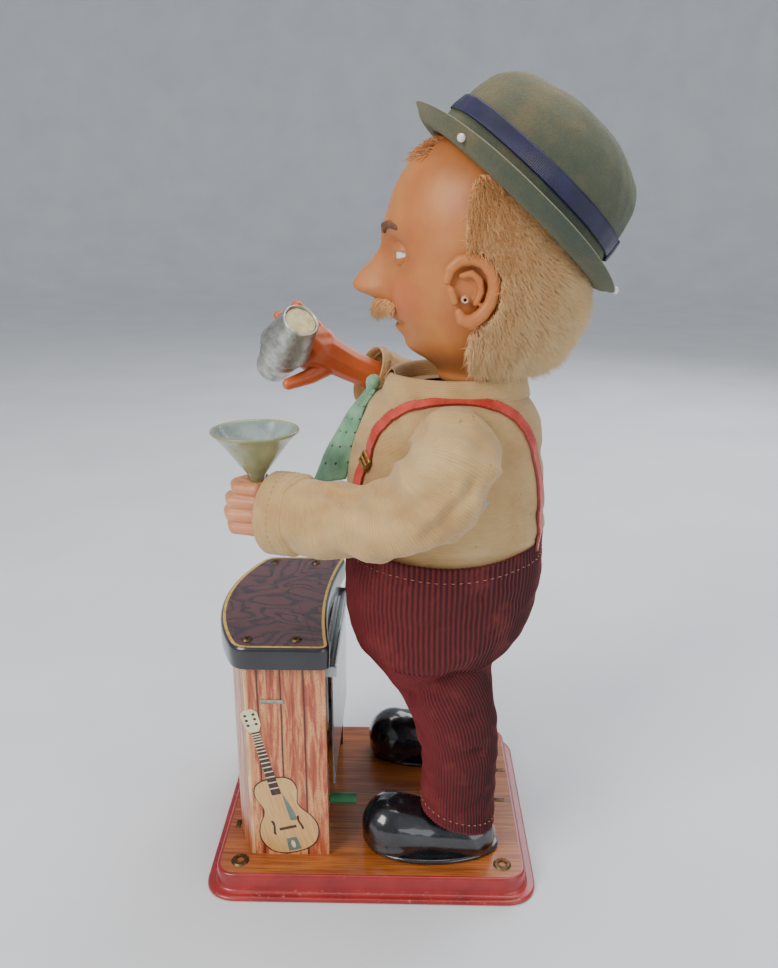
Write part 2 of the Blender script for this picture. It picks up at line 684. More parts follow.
def piece(name, points, faces, paints, body, uvs=None, slots=None, crease=40, slot=None, smooth=True):
    """A mesh piece from points in millimetres; uvs and slots are per face, where they are given."""
    mesh = bpy.data.meshes.new(name)
    mesh.from_pydata((np.asarray(points, float) * MM).tolist(), [], [tuple(f) for f in faces])
    for maker in paints:
        mesh.materials.append(paint(maker))
    if slots is not None:
        mesh.polygons.foreach_set("material_index", slots)
    if uvs is not None:
        layer = mesh.uv_layers.new(name="cloth")
        layer.data.foreach_set("uv", [x for face in uvs for corner in face for x in corner])
    mesh.update()
    mesh.validate()
    if smooth:
        mesh.shade_smooth()
        mesh.set_sharp_from_angle(angle=math.radians(crease))
    made = bpy.data.objects.new(name, mesh)
    bpy.context.scene.collection.objects.link(made)
    if body:
        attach(made, body)
    return made


def lofted(name, rings, maker, body, slot, crease=180, **shape):
    """A piece from rings of points in one material."""
    points, faces, uvs, _ = loft(rings, **shape)
    return piece(name, points, faces, (maker,), body, uvs, crease=crease, slot=slot)


def thicken(made, thick, offset, body):
    """Gives a flat skin its thickness, and then its body and material slot."""
    solid = made.modifiers.new("cloth", "SOLIDIFY")
    solid.thickness = thick * MM
    solid.offset = offset
    bake(made)
    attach(made, body)
    return made


def bake(made):
    """Applies the piece's modifiers to its mesh."""
    graph = bpy.context.evaluated_depsgraph_get()
    mesh = bpy.data.meshes.new_from_object(made.evaluated_get(graph), depsgraph=graph)
    made.modifiers.clear()
    made.data = mesh
    return made


def loft(rings, closed=True, caps=(False, False), size=(1.0, 1.0), bands=None):
    """Joins rings of points into a skin. size is the flat skin's width round and length along."""
    rings = np.asarray(rings, float)
    rows, count = rings.shape[:2]
    columns = count if closed else count - 1
    across = np.linspace(-size[0] / 2, size[0] / 2, columns + 1)
    along = np.linspace(0, size[1], rows)
    faces, uvs, slots = [], [], []
    for i in range(rows - 1):
        for j in range(columns):
            k = (j + 1) % count
            faces.append((i * count + j, i * count + k, (i + 1) * count + k, (i + 1) * count + j))
            uvs.append(((across[j], along[i]), (across[j + 1], along[i]),
                        (across[j + 1], along[i + 1]), (across[j], along[i + 1])))
            slots.append(bands[i] if bands else 0)
    for cap, row in zip(caps, (0, rows - 1)):
        if cap:
            corners = tuple(row * count + j for j in range(count))
            faces.append(corners[::-1] if row == 0 else corners)
            flat = rings[row][:, :2]
            uvs.append(tuple(map(tuple, flat[::-1] if row == 0 else flat)))
            slots.append(bands[0 if row == 0 else -1] if bands else 0)
    return rings.reshape(-1, 3), faces, uvs, slots


def smooth_line(keys, count):
    """Catmull-Rom through the rows of keys, at count even steps."""
    keys = np.asarray(keys, float)
    ends = np.vstack([2 * keys[0] - keys[1], keys, 2 * keys[-1] - keys[-2]])
    made = []
    for s in np.linspace(0, len(keys) - 1, count):
        i = min(int(s), len(keys) - 2)
        t = s - i
        a, b, c, d = ends[i:i + 4]
        made.append(0.5 * (2 * b + (c - a) * t + (2 * a - 5 * b + 4 * c - d) * t ** 2
                           + (3 * b - a - 3 * c + d) * t ** 3))
    return np.array(made)


def ripple(points, size, seed):
    """Smooth noise of about -1 to 1 that changes over about size millimetres."""
    draw = np.random.default_rng(seed)
    total = np.zeros(len(points))
    for _ in range(7):
        wave = unit(draw.normal(size=3)) * 2 * math.pi / (size * draw.uniform(0.7, 1.7))
        total += np.sin(points @ wave + draw.uniform(0, 2 * math.pi))
    return total / 3.4


def gauss(points, centre, size):
    return np.exp(-0.5 * np.sum(((points - np.array(centre)) / np.array(size)) ** 2, axis=1))


def fold(points, line, width):
    """1 on a broken line of points, and falling away from it over about width."""
    best = np.full(len(points), 1e9)
    line = np.asarray(line, float)
    for a, b in zip(line, line[1:]):
        t = np.clip((points - a) @ (b - a) / ((b - a) @ (b - a)), 0, 1)
        best = np.minimum(best, np.linalg.norm(points - a - t[:, None] * (b - a), axis=1))
    return np.exp(-0.5 * (best / width) ** 2)


def lathe(profile, count, at=(0, 0, 0), axis=UP, steps=None):
    """Rings round an axis through at; profile is (radius, height) rows."""
    if steps:
        profile = smooth_line(profile, steps)
    axis = unit(axis)
    side = unit(np.cross(axis, (0.31, 0.93, 0.2)))
    other = np.cross(axis, side)
    turns = np.linspace(0, 2 * math.pi, count, endpoint=False)
    spokes = np.cos(turns)[:, None] * side + np.sin(turns)[:, None] * other
    return np.array([np.array(at) + axis * high + spokes * radius for radius, high in profile])


def limb(keys, rows, count):
    """Rings along (x, y, z, nx, ny, nz, radius) keys; each ring faces along its own n."""
    line = smooth_line(keys, rows)
    side = unit(np.cross(line[0, 3:6], UP))
    turns = np.linspace(0, 2 * math.pi, count, endpoint=False)
    rings = []
    for row in line:
        facing = unit(row[3:6])
        side = unit(side - facing * (side @ facing))
        other = np.cross(facing, side)
        rings.append(row[:3] + row[6] * (np.cos(turns)[:, None] * side + np.sin(turns)[:, None] * other))
    return np.array(rings)


def rounded(sides, radius, steps=7):
    """A closed outline from open sides that meet at corners, with the corners rounded."""
    trimmed = []
    for side in sides:
        side = np.asarray(side, float)
        lengths = np.concatenate([[0], np.cumsum(np.linalg.norm(np.diff(side, axis=0), axis=1))])
        inside = [s for s in lengths if radius < s < lengths[-1] - radius]
        places = [radius] + inside + [lengths[-1] - radius]
        trimmed.append(np.column_stack([np.interp(places, lengths, side[:, k]) for k in (0, 1)]))
    outline = []
    for this, following, side in zip(trimmed, trimmed[1:] + trimmed[:1], sides):
        outline.extend(this)
        corner = np.asarray(side[-1], float)
        for t in np.linspace(0, 1, steps + 2)[1:-1]:
            outline.append((1 - t) ** 2 * this[-1] + 2 * t * (1 - t) * corner + t ** 2 * following[0])
    return np.array(outline)


def arc(centre, radius, x_from, x_to, sign, count=24):
    """Points on a circle at even x; sign says which side of the centre."""
    xs = np.linspace(x_from, x_to, count)
    return np.column_stack([xs, centre + sign * np.sqrt(radius ** 2 - xs ** 2)])


def inset(outline, distance):
    """The outline moved inwards by distance; it runs anticlockwise."""
    ahead = np.roll(outline, -1, axis=0) - np.roll(outline, 1, axis=0)
    ahead /= np.linalg.norm(ahead, axis=1)[:, None]
    return outline + distance * np.column_stack([-ahead[:, 1], ahead[:, 0]])


def levels(outline, steps, caps=(False, False), bands=None):
    """Stacks an outline: steps are (inset, z) rows."""
    rings = [np.column_stack([inset(outline, d), np.full(len(outline), z)]) for d, z in steps]
    return loft(rings, True, caps, (1, 1), bands)


def ball(mesh, centre, radius, stretch=(1, 1, 1), detail=3):
    made = bmesh.ops.create_icosphere(mesh, subdivisions=detail, radius=1)
    for v in made["verts"]:
        v.co = Vector(centre) + Vector([c * radius * s for c, s in zip(v.co, stretch)])
    return made["verts"]


def blob(name, rods, balls, voxel, relax, paints, body):
    """Melts rods (a, b, radius_a, radius_b) and balls (centre, radius, stretch) into one soft form."""
    mesh = bmesh.new()
    for a, b, radius_a, radius_b in rods:
        part = bmesh.new()
        ball(part, a, radius_a, detail=2)
        ball(part, b, radius_b, detail=2)
        hull = bmesh.ops.convex_hull(part, input=part.verts[:])
        loose = [v for v in set(hull["geom_interior"]) | set(hull["geom_unused"])
                 if isinstance(v, bmesh.types.BMVert)]
        bmesh.ops.delete(part, geom=loose, context="VERTS")
        skin = bpy.data.meshes.new("part")
        part.to_mesh(skin)
        part.free()
        mesh.from_mesh(skin)
        bpy.data.meshes.remove(skin)
    for centre, radius, stretch in balls:
        ball(mesh, centre, radius, stretch)
    points = [tuple(v.co) for v in mesh.verts]
    mesh.verts.index_update()
    faces = [[v.index for v in f.verts] for f in mesh.faces]
    mesh.free()
    made = piece(name, points, faces, paints, None, smooth=True)
    melt = made.modifiers.new("melt", "REMESH")
    melt.mode = "VOXEL"
    melt.voxel_size = voxel * MM
    melt.use_smooth_shade = True
    soften = made.modifiers.new("soften", "SMOOTH")
    soften.factor = 0.6
    soften.iterations = relax
    bake(made)
    made.data.materials.clear()
    for maker in paints:
        made.data.materials.append(paint(maker))
    made.data.shade_smooth()
    if body:
        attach(made, body)
    return made


def skin_tree(made):
    """A search tree of a piece's surface, in millimetres."""
    points = [v.co / MM for v in made.data.vertices]
    return BVHTree.FromPolygons(points, [tuple(p.vertices) for p in made.data.polygons])


def ribbon(tree, line, width, lift, thick, count, inward=None):
    """A flat strap laid on a surface: rings of its section along line, lifted off the surface."""
    line = smooth_line(line, count)
    on_skin, normals = [], []
    for point in line:
        place, normal, _, _ = tree.find_nearest(Vector(point))
        normal = np.array(normal)
        if normal @ (np.array(place) - np.array(inward)) < 0:
            normal = -normal
        on_skin.append(np.array(place))
        normals.append(normal)
    for _ in range(6):
        normals = [unit(normals[max(i - 1, 0)] + 2 * n + normals[min(i + 1, count - 1)])
                   for i, n in enumerate(normals)]
    ahead = np.gradient(np.array(on_skin), axis=0)
    rings = []
    for place, normal, forward in zip(on_skin, normals, ahead):
        side = unit(np.cross(normal, forward))
        low = place + normal * lift
        high = low + normal * thick
        half = side * width / 2
        rings.append([low - half, high - half * 0.98, high + half * 0.98, low + half])
    return np.array(rings)


def tufts(roots, ways, lengths, thick, droop, seed, spread=0.35, bent=True):
    """Thin three-sided strands that lean towards droop, bent halfway or straight; one island each."""
    draw = np.random.default_rng(seed)
    count = len(roots)
    ways = ways + draw.normal(scale=spread, size=(count, 3))
    ways /= np.linalg.norm(ways, axis=1)[:, None]
    side = np.cross(ways, draw.normal(size=(count, 3)))
    side /= np.linalg.norm(side, axis=1)[:, None]
    other = np.cross(ways, side)
    long = (lengths * draw.uniform(0.7, 1.15, count))[:, None]
    middle = roots + ways * long * 0.55 + droop * long * 0.12
    tip = roots + ways * long * 0.9 + droop * long * 0.42 + draw.normal(scale=0.25, size=(count, 3))
    points = np.zeros((count, 7 if bent else 4, 3))
    for k in range(3):
        turn = 2 * math.pi * k / 3
        spoke = (side * math.cos(turn) + other * math.sin(turn)) * thick
        points[:, k] = roots + spoke
        if bent:
            points[:, 3 + k] = middle + spoke * 0.8
    points[:, -1] = tip
    first = np.arange(count)[:, None] * points.shape[1]
    last = first + (3 if bent else 0)
    faces = []
    for k in range(3):
        m = (k + 1) % 3
        if bent:
            faces += np.hstack([first + k, first + m, last + m, last + k]).tolist()
        faces += np.hstack([last + k, last + m, first + points.shape[1] - 1]).tolist()
    return points.reshape(-1, 3), faces


def stitches(name, line, long, gap, thick, paints, body, slot, normals):
    """Running stitches along a closed or open line: small raised grains of thread."""
    line = np.asarray(line, float)
    lengths = np.concatenate([[0], np.cumsum(np.linalg.norm(np.diff(line, axis=0), axis=1))])
    points, faces = [], []
    start = 0.0
    while start + long < lengths[-1]:
        a, m, b = (np.array([np.interp(s, lengths, line[:, k]) for k in range(3)])
                   for s in (start, start + long / 2, start + long))
        out = unit(np.array([np.interp(start + long / 2, lengths, normals[:, k]) for k in range(3)]))
        side = unit(np.cross(out, b - a)) * thick / 2
        base = len(points)
        points += [a - out * 0.1, m - side, m + out * thick * 0.75, m + side, b - out * 0.1]
        faces += [(base, base + 1, base + 2), (base, base + 2, base + 3),
                  (base + 4, base + 2, base + 1), (base + 4, base + 3, base + 2)]
        start += long + gap
    return piece(name, points, faces, paints, body, slot=slot, smooth=False)


# ---------------------------------------------------------------- base and bar

DECK_W, DECK_D, DECK_R, DECK_Z = 102.0, 120.0, 9.0, 9.0
CASE_X = 39             # half the width of the bar's case
PLANK_W = 8.6


def rectangle(wide, deep, radius, steps=9, cells=14):
    """A rounded rectangle round the origin, anticlockwise."""
    x, y = wide / 2, deep / 2
    corners = [(x, -y), (x, y), (-x, y), (-x, -y)]
    sides = [np.linspace(a, b, cells) for a, b in zip(corners, corners[1:] + corners[:1])]
    return rounded(sides, radius, steps)


def make_base():
    """Pressed tray: printed deck, rounded red shoulder, red wall and a rolled flange."""
    outline = rectangle(DECK_W, DECK_D, DECK_R)
    steps = [(1.4, DECK_Z), (1.1, DECK_Z), (0.45, DECK_Z - 0.2), (0.1, DECK_Z - 0.7), (0, DECK_Z - 1.6),
             (-0.1, 3.4), (-0.35, 2.4), (-1.0, 1.9), (-2.4, 1.75), (-3.3, 1.7), (-3.8, 1.35), (-4.0, 0.8),
             (-3.8, 0.25), (-3.2, 0.0), (-2.2, 0.1), (-0.9, 0.6), (0.4, 1.4), (0.7, 3.4), (0.8, 7.0),
             (1.4, 8.2)]
    points, faces, uvs, slots = levels(outline, steps, (True, False), [1] * (len(steps) - 1))
    slots[-1] = 0
    tray = piece("printed_tray", points, faces, (deck_wood, rim_red), "base", uvs, slots, slot="red_tin")
    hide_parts("base_tray")
    for number, (x, y, long, wide) in enumerate(((-17, 55.6, 2.6, 1.0), (4, 53.5, 2.6, 1.0),
                                                 (22, -55.4, 1.0, 2.6)), 1):
        tab = rounded([np.array([(x - wide, y - long), (x + wide, y - long)]),
                       np.array([(x + wide, y - long), (x + wide, y + long)]),
                       np.array([(x + wide, y + long), (x - wide, y + long)]),
                       np.array([(x - wide, y + long), (x - wide, y - long)])], 0.4, 3)
        made = levels(tab, [(0, DECK_Z - 0.3), (0, DECK_Z + 0.15), (0.25, DECK_Z + 0.3)], (False, True))
        piece(f"deck_tab_{number}", *made[:2], (aged_eyelet,), "base", made[2], slot="plain_steel")


def counter_outline():
    front = arc(27.5, 88.0, -43.5, 43.5, -1)
    back = arc(204, 222, 43.5, -43.5, -1)
    right = np.linspace(front[-1], back[0], 8)
    left = np.linspace(back[-1], front[0], 8)
    return rounded([front, right, back, left], 5)


def make_counter():
    """Pressed counter: grain inside a gold line, black wall with a rounded edge."""
    outline = counter_outline()
    top = 101.5
    steps = [(0.9, 93.2), (0.1, 93), (0, 93.5), (0, 100.2), (0.25, 101.0), (0.8, top), (1.0, top),
             (2.1, top),
             (2.2, top)]
    bands = [1, 1, 1, 1, 1, 1, 2, 0]
    points, faces, uvs, slots = levels(outline, steps, (False, True), bands)
    counter = piece("printed_counter", points, faces, (counter_grain, black_enamel, gold_line), "base", uvs,
                    slots, slot="counter_litho")
    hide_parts("bar_counter")


def case_outline(shrink):
    """The case's open outline, from one back lip round the front to the other."""
    front = arc(24.05, 81.05 - shrink, -CASE_X + shrink, CASE_X - shrink, -1, 30)
    back = -16.5
    right = np.array([(CASE_X - shrink, y) for y in np.linspace(front[-1][1], back - shrink, 12)])
    left = right[::-1] * (-1, 1)
    lip = [(36, back - shrink)]
    return np.vstack([np.array(lip) * (-1, 1), left[:-1], front, right[1:], lip])


def make_case():
    """The printed case with planks all round, a cream front edge and a bent tab in each side."""
    outer = case_outline(0.0)
    inner = case_outline(0.8)[::-1]
    ring = np.vstack([outer, inner])
    run = np.concatenate([[0], np.cumsum(np.linalg.norm(np.diff(ring, axis=0), axis=1))])
    heights = np.linspace(9, 100.4, 14)
    rings = [np.column_stack([ring, np.full(len(ring), z)]) for z in heights]
    points, faces, uvs, _ = loft(rings)
    count = len(ring)
    for i in range(len(heights) - 1):
        for j in range(count):
            a, b = run[j], run[(j + 1) % count] if j + 1 < count else run[j] + 1
            uvs[i * count + j] = ((a, heights[i]), (b, heights[i]), (b, heights[i + 1]),
                                  (a, heights[i + 1]))
    case = piece("printed_case", points, faces, (plank_print,), "base", uvs, crease=30, slot="bar_litho")
    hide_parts("bar_case")
    for side in (-1, 1):
        x = CASE_X * side
        name = "left" if side > 0 else "right"
        strip = [(x, -46.9), (x + 0.12 * side, -46.8), (x + 0.12 * side, -45.6), (x, -45.5)]
        rings = [[(px, py, z) for px, py in strip] for z in np.linspace(9.2, 93, 10)]
        lofted(f"{name}_cream_edge", rings, edge_cream, "base", "bar_litho", 40, closed=False)
        tab = [(x - side * 0.4, 0.0), (x + side * 0.5, 0.25), (x + side * 0.75, -0.5),
               (x + side * 0.3, -1.5),
               (x - side * 0.4, -1.7)]
        rings = [[(px, y, 78 + pz) for px, pz in tab] for y in np.linspace(-40.9, -32.2, 7)]
        lofted(f"{name}_case_tab", rings, dull_aluminium, "base", "plain_steel", 40, caps=(True, True))


def decal(part, outline, side, lift, maker, middle):
    """A thin printed shape on a side panel. outline is in the guitar's own plane."""
    x = CASE_X * side
    name = f"{'left' if side > 0 else 'right'}_guitar_{part}"
    turned = [guitar_place(u, v) for u, v in outline]
    rings = [[(x + side * d, y, z) for y, z in turned] for d in (0.02 + lift, 0.1 + lift)]
    points, faces, uvs, _ = loft(rings)
    count = len(outline)
    base = len(points)
    cy, cz = guitar_place(*middle)
    points = np.vstack([points, [(x + side * (0.1 + lift), cy, cz)]])
    for j in range(count):
        k = (j + 1) % count
        faces.append((count + j, count + k, base))
        uvs.append((outline[j], outline[k], middle))
    return piece(name, points, faces, (maker,), "base", uvs, slot="bar_litho", smooth=False)


GUITAR_LOW = np.array([-29.5, 10.5])
GUITAR_TILT = math.radians(14.5)


def guitar_place(u, v):
    """(Y, Z) on the side panel of a point u across and v up the guitar."""
    c, s = math.cos(GUITAR_TILT), math.sin(GUITAR_TILT)
    return GUITAR_LOW[0] + u * c - v * s, GUITAR_LOW[1] + u * s + v * c


def ellipse(u, v, half_u, half_v, count=20):
    turns = np.linspace(0, 2 * math.pi, count, endpoint=False)
    return [(u + half_u * math.cos(t), v + half_v * math.sin(t)) for t in turns]


def bar_shape(u, v, half_u, half_v):
    return [(u - half_u, v - half_v), (u + half_u, v - half_v), (u + half_u, v + half_v),
            (u - half_u, v + half_v)]


def make_guitar(side):
    """A plain arch-top guitar printed on a side panel, head up and towards the front."""
    half = [(0, 0), (4.5, 0.5), (8.6, 2.6), (10.9, 6.6), (11.3, 11), (9.7, 15.4), (7.4, 18.8), (6.6, 21.6),
            (7.4, 24.6), (8.2, 28), (7.3, 31.6), (4.6, 33.6), (1.4, 34.0)]
    right = smooth_line(half, 40)
    body = [tuple(p) for p in right] + [(-u, v) for u, v in right[::-1][:-1]]
    shadow = [(u * 1.045, (v - 17) * 1.03 + 17) for u, v in body]
    decal("outline", shadow, side, 0.0, guitar_dark, (0, 14))
    decal("body", body, side, 0.06, guitar_blond, (0, 14))
    decal("neck", [(-1.9, 27), (1.9, 27), (1.35, 56), (-1.35, 56)], side, 0.12, guitar_dark, (0, 40))
    for fret in range(15):
        v = 30 + 25.5 * (1 - 0.93 ** fret) / (1 - 0.93 ** 15)
        decal(f"fret_{fret + 1}", bar_shape(0, v, 1.75, 0.22), side, 0.18, guitar_cream, (0, v))
    head = [(-1.7, 55.5), (1.7, 55.5), (3.1, 58.2), (3.3, 63.6), (1.6, 65.4), (-1.6, 65.4), (-3.3, 63.6),
            (-3.1, 58.2)]
    decal("head", head, side, 0.14, guitar_cream, (0, 60))
    for row in range(3):
        for hand in (-1, 1):
            peg = ellipse(hand * 1.6, 58.8 + 2.1 * row, 0.62, 0.55, 10)
            decal(f"peg_{row + 1}_{'r' if hand > 0 else 'l'}", peg, side, 0.2, guitar_dark, peg_mid(peg))
    for hand in (-1, 1):
        slit = smooth_line([(5.2, 9.2), (6.1, 9.9), (5.7, 12.0), (5.1, 14.2), (5.6, 15.9), (4.6, 15.5),
                            (4.5, 13.6), (5.0, 11.4), (5.4, 10.0), (5.2, 9.2)], 26)[:-1]
        shape = [(u * hand, v) for u, v in slit]
        decal(f"slit_{'r' if hand > 0 else 'l'}", shape, side, 0.12, guitar_dark, (5.15 * hand, 12.6))
    decal("bridge", bar_shape(0, 11.4, 3.4, 0.6), side, 0.12, guitar_dark, (0, 11.4))
    plate = [(2.0, 14.5), (4.2, 14.0), (4.6, 16.6), (3.4, 22.4), (2.2, 27.0), (1.9, 24.0)]
    decal("guard", plate, side, 0.14, guitar_grey, (3.0, 18.5))
    tail = [(-2.6, 0.8), (2.6, 0.8), (2.0, 6.6), (-2.0, 6.6)]
    decal("tail", tail, side, 0.12, guitar_grey, (0, 3.6))
    decal("tail_gap", ellipse(0, 3.6, 0.8, 1.8, 12), side, 0.18, guitar_cream, (0, 3.6))


def peg_mid(points):
    return tuple(np.mean(np.array(points), axis=0))


# ---------------------------------------------------------------- shoes and trousers

BODY_Y = 28.0
WALE = 2.0              # width of one corduroy rib


def make_shoe(side):
    """A bulbous glossy shoe on a welted sole, both moulded round the fixed foot."""
    x = 31.0 * side
    name = "left" if side > 0 else "right"
    upper = blob(f"{name}_shoe_upper",
                 [((x, 9.6, 17.2), (x, 22, 15.5), 13.0, 11.4), ((x, 22, 15), (x, 38.6, 14.0), 11.3, 11.2),
                  ((x - 0.5 * side, 33, 16), (x - 0.5 * side, 34.5, 26), 10.0, 8.6)],
                 [((x, 7.6, 18.2), 12.3, (0.98, 0.95, 1.0)), ((x, 9, 13.5), 13.0, (1, 1, 0.35))],
                 0.7, 9, (shoe_black,), None)
    lowest = 10.4 * MM
    for v in upper.data.vertices:
        v.co.z = max(v.co.z, lowest)
    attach(upper, "base")
    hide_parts(f"{name}_shoe")
    line = []
    for t in np.linspace(0, 2 * math.pi, 60, endpoint=False):
        front = 0.5 - 0.5 * math.sin(t)
        width = 12.4 + 1.6 * front
        line.append((x + width * math.cos(t), 24.3 + (26.6 if math.sin(t) < 0 else 26.2) * math.sin(t)))
    line = np.array(line)
    steps = [(0.9, 9.1), (0.1, 9.3), (-0.1, 9.9), (0.1, 10.5), (0.7, 10.9), (1.1, 11.0), (1.5, 10.9),
             (2.2, 11.4)]
    made = levels(line, steps, (True, True))
    piece(f"{name}_shoe_welt", *made[:2], (shoe_black,), "base", made[2], crease=60, slot="black_shoe")


def leg_section(z):
    """(centre y, half depth, half width, centre x) of a trouser leg at height z."""
    keys = np.array([(20, 34.2, 14.4, 14.3, 30.2), (33, 33.8, 14.3, 14.2, 30.2), (52, 34.2, 14.5, 14.3, 30),
                     (66, 31.5, 16.0, 15.5, 28.0), (78, 27.8, 18.3, 17.2, 24.0),
                     (90, 24.6, 21.0, 18.6, 20.5)])
    return [np.interp(z, keys[:, 0], keys[:, k]) for k in range(1, 5)]


def seat_section(z):
    """(front y, back y, half width) of the trousers at height z."""
    keys = np.array([(86, -6.5, 50, 36.0), (90, -8.2, 56.5, 37.0), (96, -9.8, 60.5, 38.2),
                     (104, -11.2, 63.3, 38.8),
                     (112, -11.4, 65.0, 38.9), (120, -10.9, 65.8, 38.6), (127, -9.7, 65.8, 38.2),
                     (134, -9.0, 65.8, 37.9)])
    return [np.interp(z, keys[:, 0], keys[:, k]) for k in range(1, 4)]


SEAT_POINTS = 480       # four points to a rib, round the seat
CROTCH_POINTS = 52      # points of each leg's inner edge
CROTCH_Z = 87.0


def waist_edge(turn):
    """Height of the waistband's edge round the body; it rises at the back."""
    return 131.6 + 2.0 * max(0.0, math.sin(turn)) ** 2 - 1.2 * max(0.0, math.cos(2 * turn)) ** 2


def seat_ring(level):
    """One ring of the seat, from level 1 at the waist edge to 0 at the crotch."""
    turns = np.linspace(0, 2 * math.pi, SEAT_POINTS, endpoint=False) - math.pi / 2
    ring = []
    for turn in turns:
        z = CROTCH_Z + (waist_edge(turn) - CROTCH_Z) * level
        front, back, half = seat_section(z)
        c, s = math.cos(turn), math.sin(turn)
        flat_c = math.copysign(abs(c) ** 0.92, c)
        y = BODY_Y + s * ((back - BODY_Y) if s > 0 else (BODY_Y - front))
        ring.append((half * flat_c, y, z))
    return np.array(ring)


def leg_rings(side, crotch_ring, rows):
    """Rings of one leg, from the crotch to the hem, that start at half of the seat's last ring."""
    half = SEAT_POINTS // 2
    if side > 0:
        outer = crotch_ring[:half + 1]
    else:
        outer = np.vstack([crotch_ring[half:], crotch_ring[:1]])
    bridge = []
    for k in range(1, CROTCH_POINTS):
        t = k / CROTCH_POINTS
        start, end = outer[-1], outer[0]
        sag = math.sin(math.pi * t)
        bridge.append(start * (1 - t) + end * t + np.array([0.35 * side * sag, 0, -3.0 * sag]))
    top = np.vstack([outer, bridge])
    count = len(top)
    middle = np.array([20.5 * side, 24.6, CROTCH_Z])
    first = math.atan2(top[0, 1] - middle[1], (top[0, 0] - middle[0]))
    turns = first + np.linspace(0, 2 * math.pi, count, endpoint=False)
    rings = []
    for t in np.linspace(0, 1, rows):
        settle = np.clip(t / 0.30, 0, 1)
        settle = settle * settle * (3 - 2 * settle)
        base = CROTCH_Z + (24.0 - CROTCH_Z) * t
        ring = np.zeros((count, 3))
        for j, turn in enumerate(turns):
            slope = -0.27 * (leg_section(base)[1] * math.sin(turn)) * t
            z = base + slope
            cy, deep, wide, cx = leg_section(z)
            ring[j] = (cx * side + wide * math.cos(turn), cy + deep * math.sin(turn), z)
        rings.append(top * (1 - settle) + ring * settle if t > 0 else top)
    return rings


def outward(rings):
    """Unit vectors from each ring's middle to its points."""
    out = rings - rings.mean(axis=1, keepdims=True)
    out[..., 2] *= 0.2
    return out / np.linalg.norm(out, axis=2, keepdims=True)


